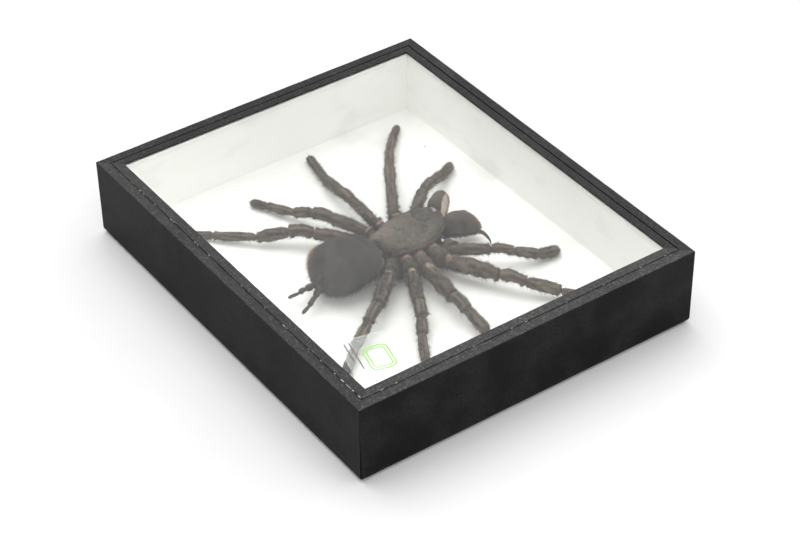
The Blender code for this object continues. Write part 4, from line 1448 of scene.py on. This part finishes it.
# %% Sweep the fangs
FANG_ROWS = 60
horn = Finish("fang_horn", Roughness=0.16)
horn.mottle(0.8, (0.006, 0.005, 0.005), (0.030, 0.014, 0.009), detail=4.0)
for side, path in FANG_PATHS.items():
    centre, radius = spread_along(path, FANG_THICK[side] / 2, FANG_ROWS)
    shape, row, pole, angle = tube_grid(FANG_ROWS, 24)
    along = unit(np.gradient(centre, axis=0))
    across = unit(np.cross(along, [0.2, 0.1, 0.97]))
    upward = np.cross(across, along)
    rounded = clamp(np.minimum((row + 0.6) / 5, (FANG_ROWS - row) / 3)) ** 0.5
    groove = 1 - 0.10 * bell(np.abs(np.sin(angle)), 0.2)
    size = np.where(pole, 0, radius[row] * rounded) * groove
    c, s = np.cos(angle) * size, np.sin(angle) * size
    fang = centre[row] + across[row] * c[:, None] + upward[row] * s[:, None]
    fang[:, 2] = np.maximum(fang[:, 2], 0.05)
    skin_of(f"fang_{side}_horn", shape, fang, horn, "fang_horn", [f"fang_{side}"])

# %% [markdown]
# Between shield and jaws the soft skin of the mouth shows pinkish. Beside it, at the root
# of the right palp, a dark bead shines like lacquer in a dark socket, with two brown lobes
# behind it. A small pale lump on the bead, on its side towards the camera, is a painted
# glint. They are lumps: pods of a few stations, turned and set where the photograph shows them.

# %% Fill in round the mouth


def lump(name, middle, size, turn_degrees, finish, seed, shade=0.5):
    """A small uneven pod around a point, in specimen millimetres."""
    half, long, high = size[0] / 2, size[1] / 2, size[2] / 2
    shoulder = (half * 0.7, high * 0.7, -high * 0.7)
    stations = [(-long, 0, 0, 0), (-long * 0.8, *shoulder), (0, half, high, -high),
                (long * 0.8, *shoulder), (long, 0, 0, 0)]
    shape, points, _ = pod(stations, 22, 24)
    points = points * (1 + 0.10 * lumps(points, max(size) * 0.4, seed))[:, None]
    turn = np.array(Matrix.Rotation(math.radians(turn_degrees), 3, "Z"))
    points = points @ turn.T + np.array(middle)
    marks = {"joint": 0.0, "pale": 0.0, "bare": 0.0, "shade": shade}
    return skin_of(name, shape, points, finish, "dark_chitin", [], (0.4, 0.9, 0.0), marks)


# This pale finish is a painted highlight: the glint on the dark bead.
painted_glint = Finish("painted_glint", Roughness=0.25)
painted_glint.mottle(0.3, (0.55, 0.53, 0.50), (0.74, 0.73, 0.70))
lacquer = Finish("lacquer", Roughness=0.14)
lacquer.mottle(0.5, (0.008, 0.008, 0.008), (0.030, 0.026, 0.022))
lump("mouth_skin_middle", (1.7, 26.7, 9.6), (2.6, 3.6, 3.4), -50, membrane, 51.0)
lump("mouth_skin_left", (-1.2, 27.6, 9.6), (2.2, 3.0, 3.0), 40, membrane, 52.0)
lump("palp_bead", (10.7, 18.3, 8.6), (2.6, 2.8, 2.6), 20, lacquer, 53.0)
# A pale lump on the bead's side towards the camera: a painted glint.
lump("palp_bead_glint", (11.5, 17.8, 9.4), (1.0, 1.0, 1.0), 0, painted_glint, 58.0, 0.9)
lump("bead_socket", (9.9, 18.9, 8.2), (3.4, 3.6, 2.6), 20, lacquer, 57.0)
lump("palp_lobe_inner", (12.4, 19.9, 8.1), (3.0, 3.8, 3.0), -45, limb_skin, 54.0, 0.95)
lump("palp_lobe_outer", (13.8, 22.3, 7.2), (1.7, 3.2, 2.0), -60, limb_skin, 55.0, 0.4)

# %% [markdown]
# Far from the spider lies one dark crumb on the card, as the photograph shows.

# %% Drop the crumb
lump("crumb_on_card", (-50.6, 61.5, 0.12), (0.7, 0.5, 0.3), 25, lacquer, 56.0)

# %% [markdown]
# Between two hips, where deep shade falls, a dark lump of painted shade with dark wool on it
# fills the gap low down, and so it does beside the right jaw. Each web is one more lump,
# long and low, laid from the body outwards.

# %% Fill the gaps between the hips with painted shade
WEBS = {
    "web_right_1_2": ((7.0, 11.0), (18.4, 9.2)), "web_right_2_3": ((6.5, 5.5), (16.4, 2.0)),
    "web_right_3_4": ((6.0, 0.5), (12.6, -5.0)), "web_right_4_abdomen": ((2.3, -2.8), (8.2, -9.0)),
    "web_left_1_2": ((-6.5, 12.0), (-14.5, 11.6)), "web_left_2_3": ((-6.5, 6.0), (-14.5, 4.0)),
    "web_left_3_4": ((-6.0, 0.5), (-13.0, -2.4)), "web_left_4_abdomen": ((-2.3, -2.8), (-7.5, -7.0)),
}
# This finish is painted shade: dark lumps that fill the shaded gaps between the hips and beside the right
# jaw.
web_painted_shade = Finish("web_painted_shade", Roughness=0.9, Specular_IOR_Level=0.1)
web_painted_shade.mottle(0.8, (0.006, 0.005, 0.005), (0.024, 0.020, 0.017))
web_painted_shade.bump(web_painted_shade.noise(0.5), 0.2, 0.8)
for seed, (name, (inner_end, outer_end)) in enumerate(WEBS.items()):
    start, end = Vector(inner_end), Vector(outer_end)
    middle = ((start.x + end.x) / 2, (start.y + end.y) / 2, 3.7)
    way = end - start
    turn_by = math.degrees(math.atan2(-way.x, way.y))
    web = lump(name, middle, (3.6, way.length, 5.2), turn_by, web_painted_shade, 60.0 + seed)
    grow(name + "_wool", web, 500, 1.3, 0.35, dark_hair_and_painted_shade, 360 + seed, 0.060)
jaw_web = lump("web_right_jaw", (4.9, 24.4, 5.8), (3.4, 5.0, 4.8), -60, web_painted_shade, 70.0)
grow("web_right_jaw_wool", jaw_web, 400, 0.9, 0.35, dark_hair_and_painted_shade, 375, 0.060)

# %% [markdown]
# The coat of the body is grown like that of the limbs: dense and short on the abdomen and
# sparse and short on the shield. The abdomen has rust-coloured hair behind and dark tufts
# low on its right side, the shield has straw-coloured hair at its rear corner, and the
# jaws have dark bristles below and rust-coloured fringes round their inner faces.

# %% Grow the hair of the body
FRINGE_COUNT = {"left": 900, "right": 800}

grow("abdomen_coat", velvet, 42000, 0.55, 0.88, velvet_hair, 400, 0.040, 1.0 - 0.5 * near_waist)
grow("abdomen_long", velvet, 2600, 1.7, 0.62, velvet_hair, 401, 0.036, 0.15 + low_side, 0.7)
drooping = dict(velvet, flow=turned(np.tile([0.35, -0.35, -1.0], (len(velvet["flow"]), 1))))
grow("abdomen_tufts", drooping, 700, 2.3, 0.70, dark_hair_and_painted_shade, 406, 0.055, tufted + TINY, 0.3)
grow("abdomen_rust", velvet, 520, 1.8, 0.60, orange_hair, 402, 0.042, rear + TINY, 0.6)
grow("shield_coat", shield, 6000, 0.40, 0.88, limb_hair, 403, 0.028, coat_growth)
grow("shield_straw", shield, 110, 2.2, 0.75, straw_hair, 405, 0.055, straw_corner + TINY, 0.5)
grow("shield_fringe", shield, 450, 0.8, 0.70, limb_hair, 404, 0.030, edge_growth, 0.7)
for seed, (name, skin) in enumerate(spinnerets.items()):
    grow(name + "_coat", skin, 2600, 0.7, 0.75, limb_hair, 410 + seed, 0.030)
for seed, (side, skin) in enumerate(jaws.items()):
    grow(f"jaw_{side}_coat", skin, 5000, 0.6, 0.82, limb_hair, 420 + seed, 0.030, 1.0 - 0.9 * skin["flat"])
    hanging = dict(skin, flow=skin["down"])
    grow(f"jaw_{side}_bristles", hanging, 380, 1.4, 0.25, dark_hair_and_painted_shade, 430 + seed, 0.20, skin["low"] + TINY, 0.3)
    grow(f"jaw_{side}_fringe", skin, FRINGE_COUNT[side], 1.0, 0.30, orange_hair, 440 + seed, 0.055,
         skin["inner"] + TINY, 0.4)
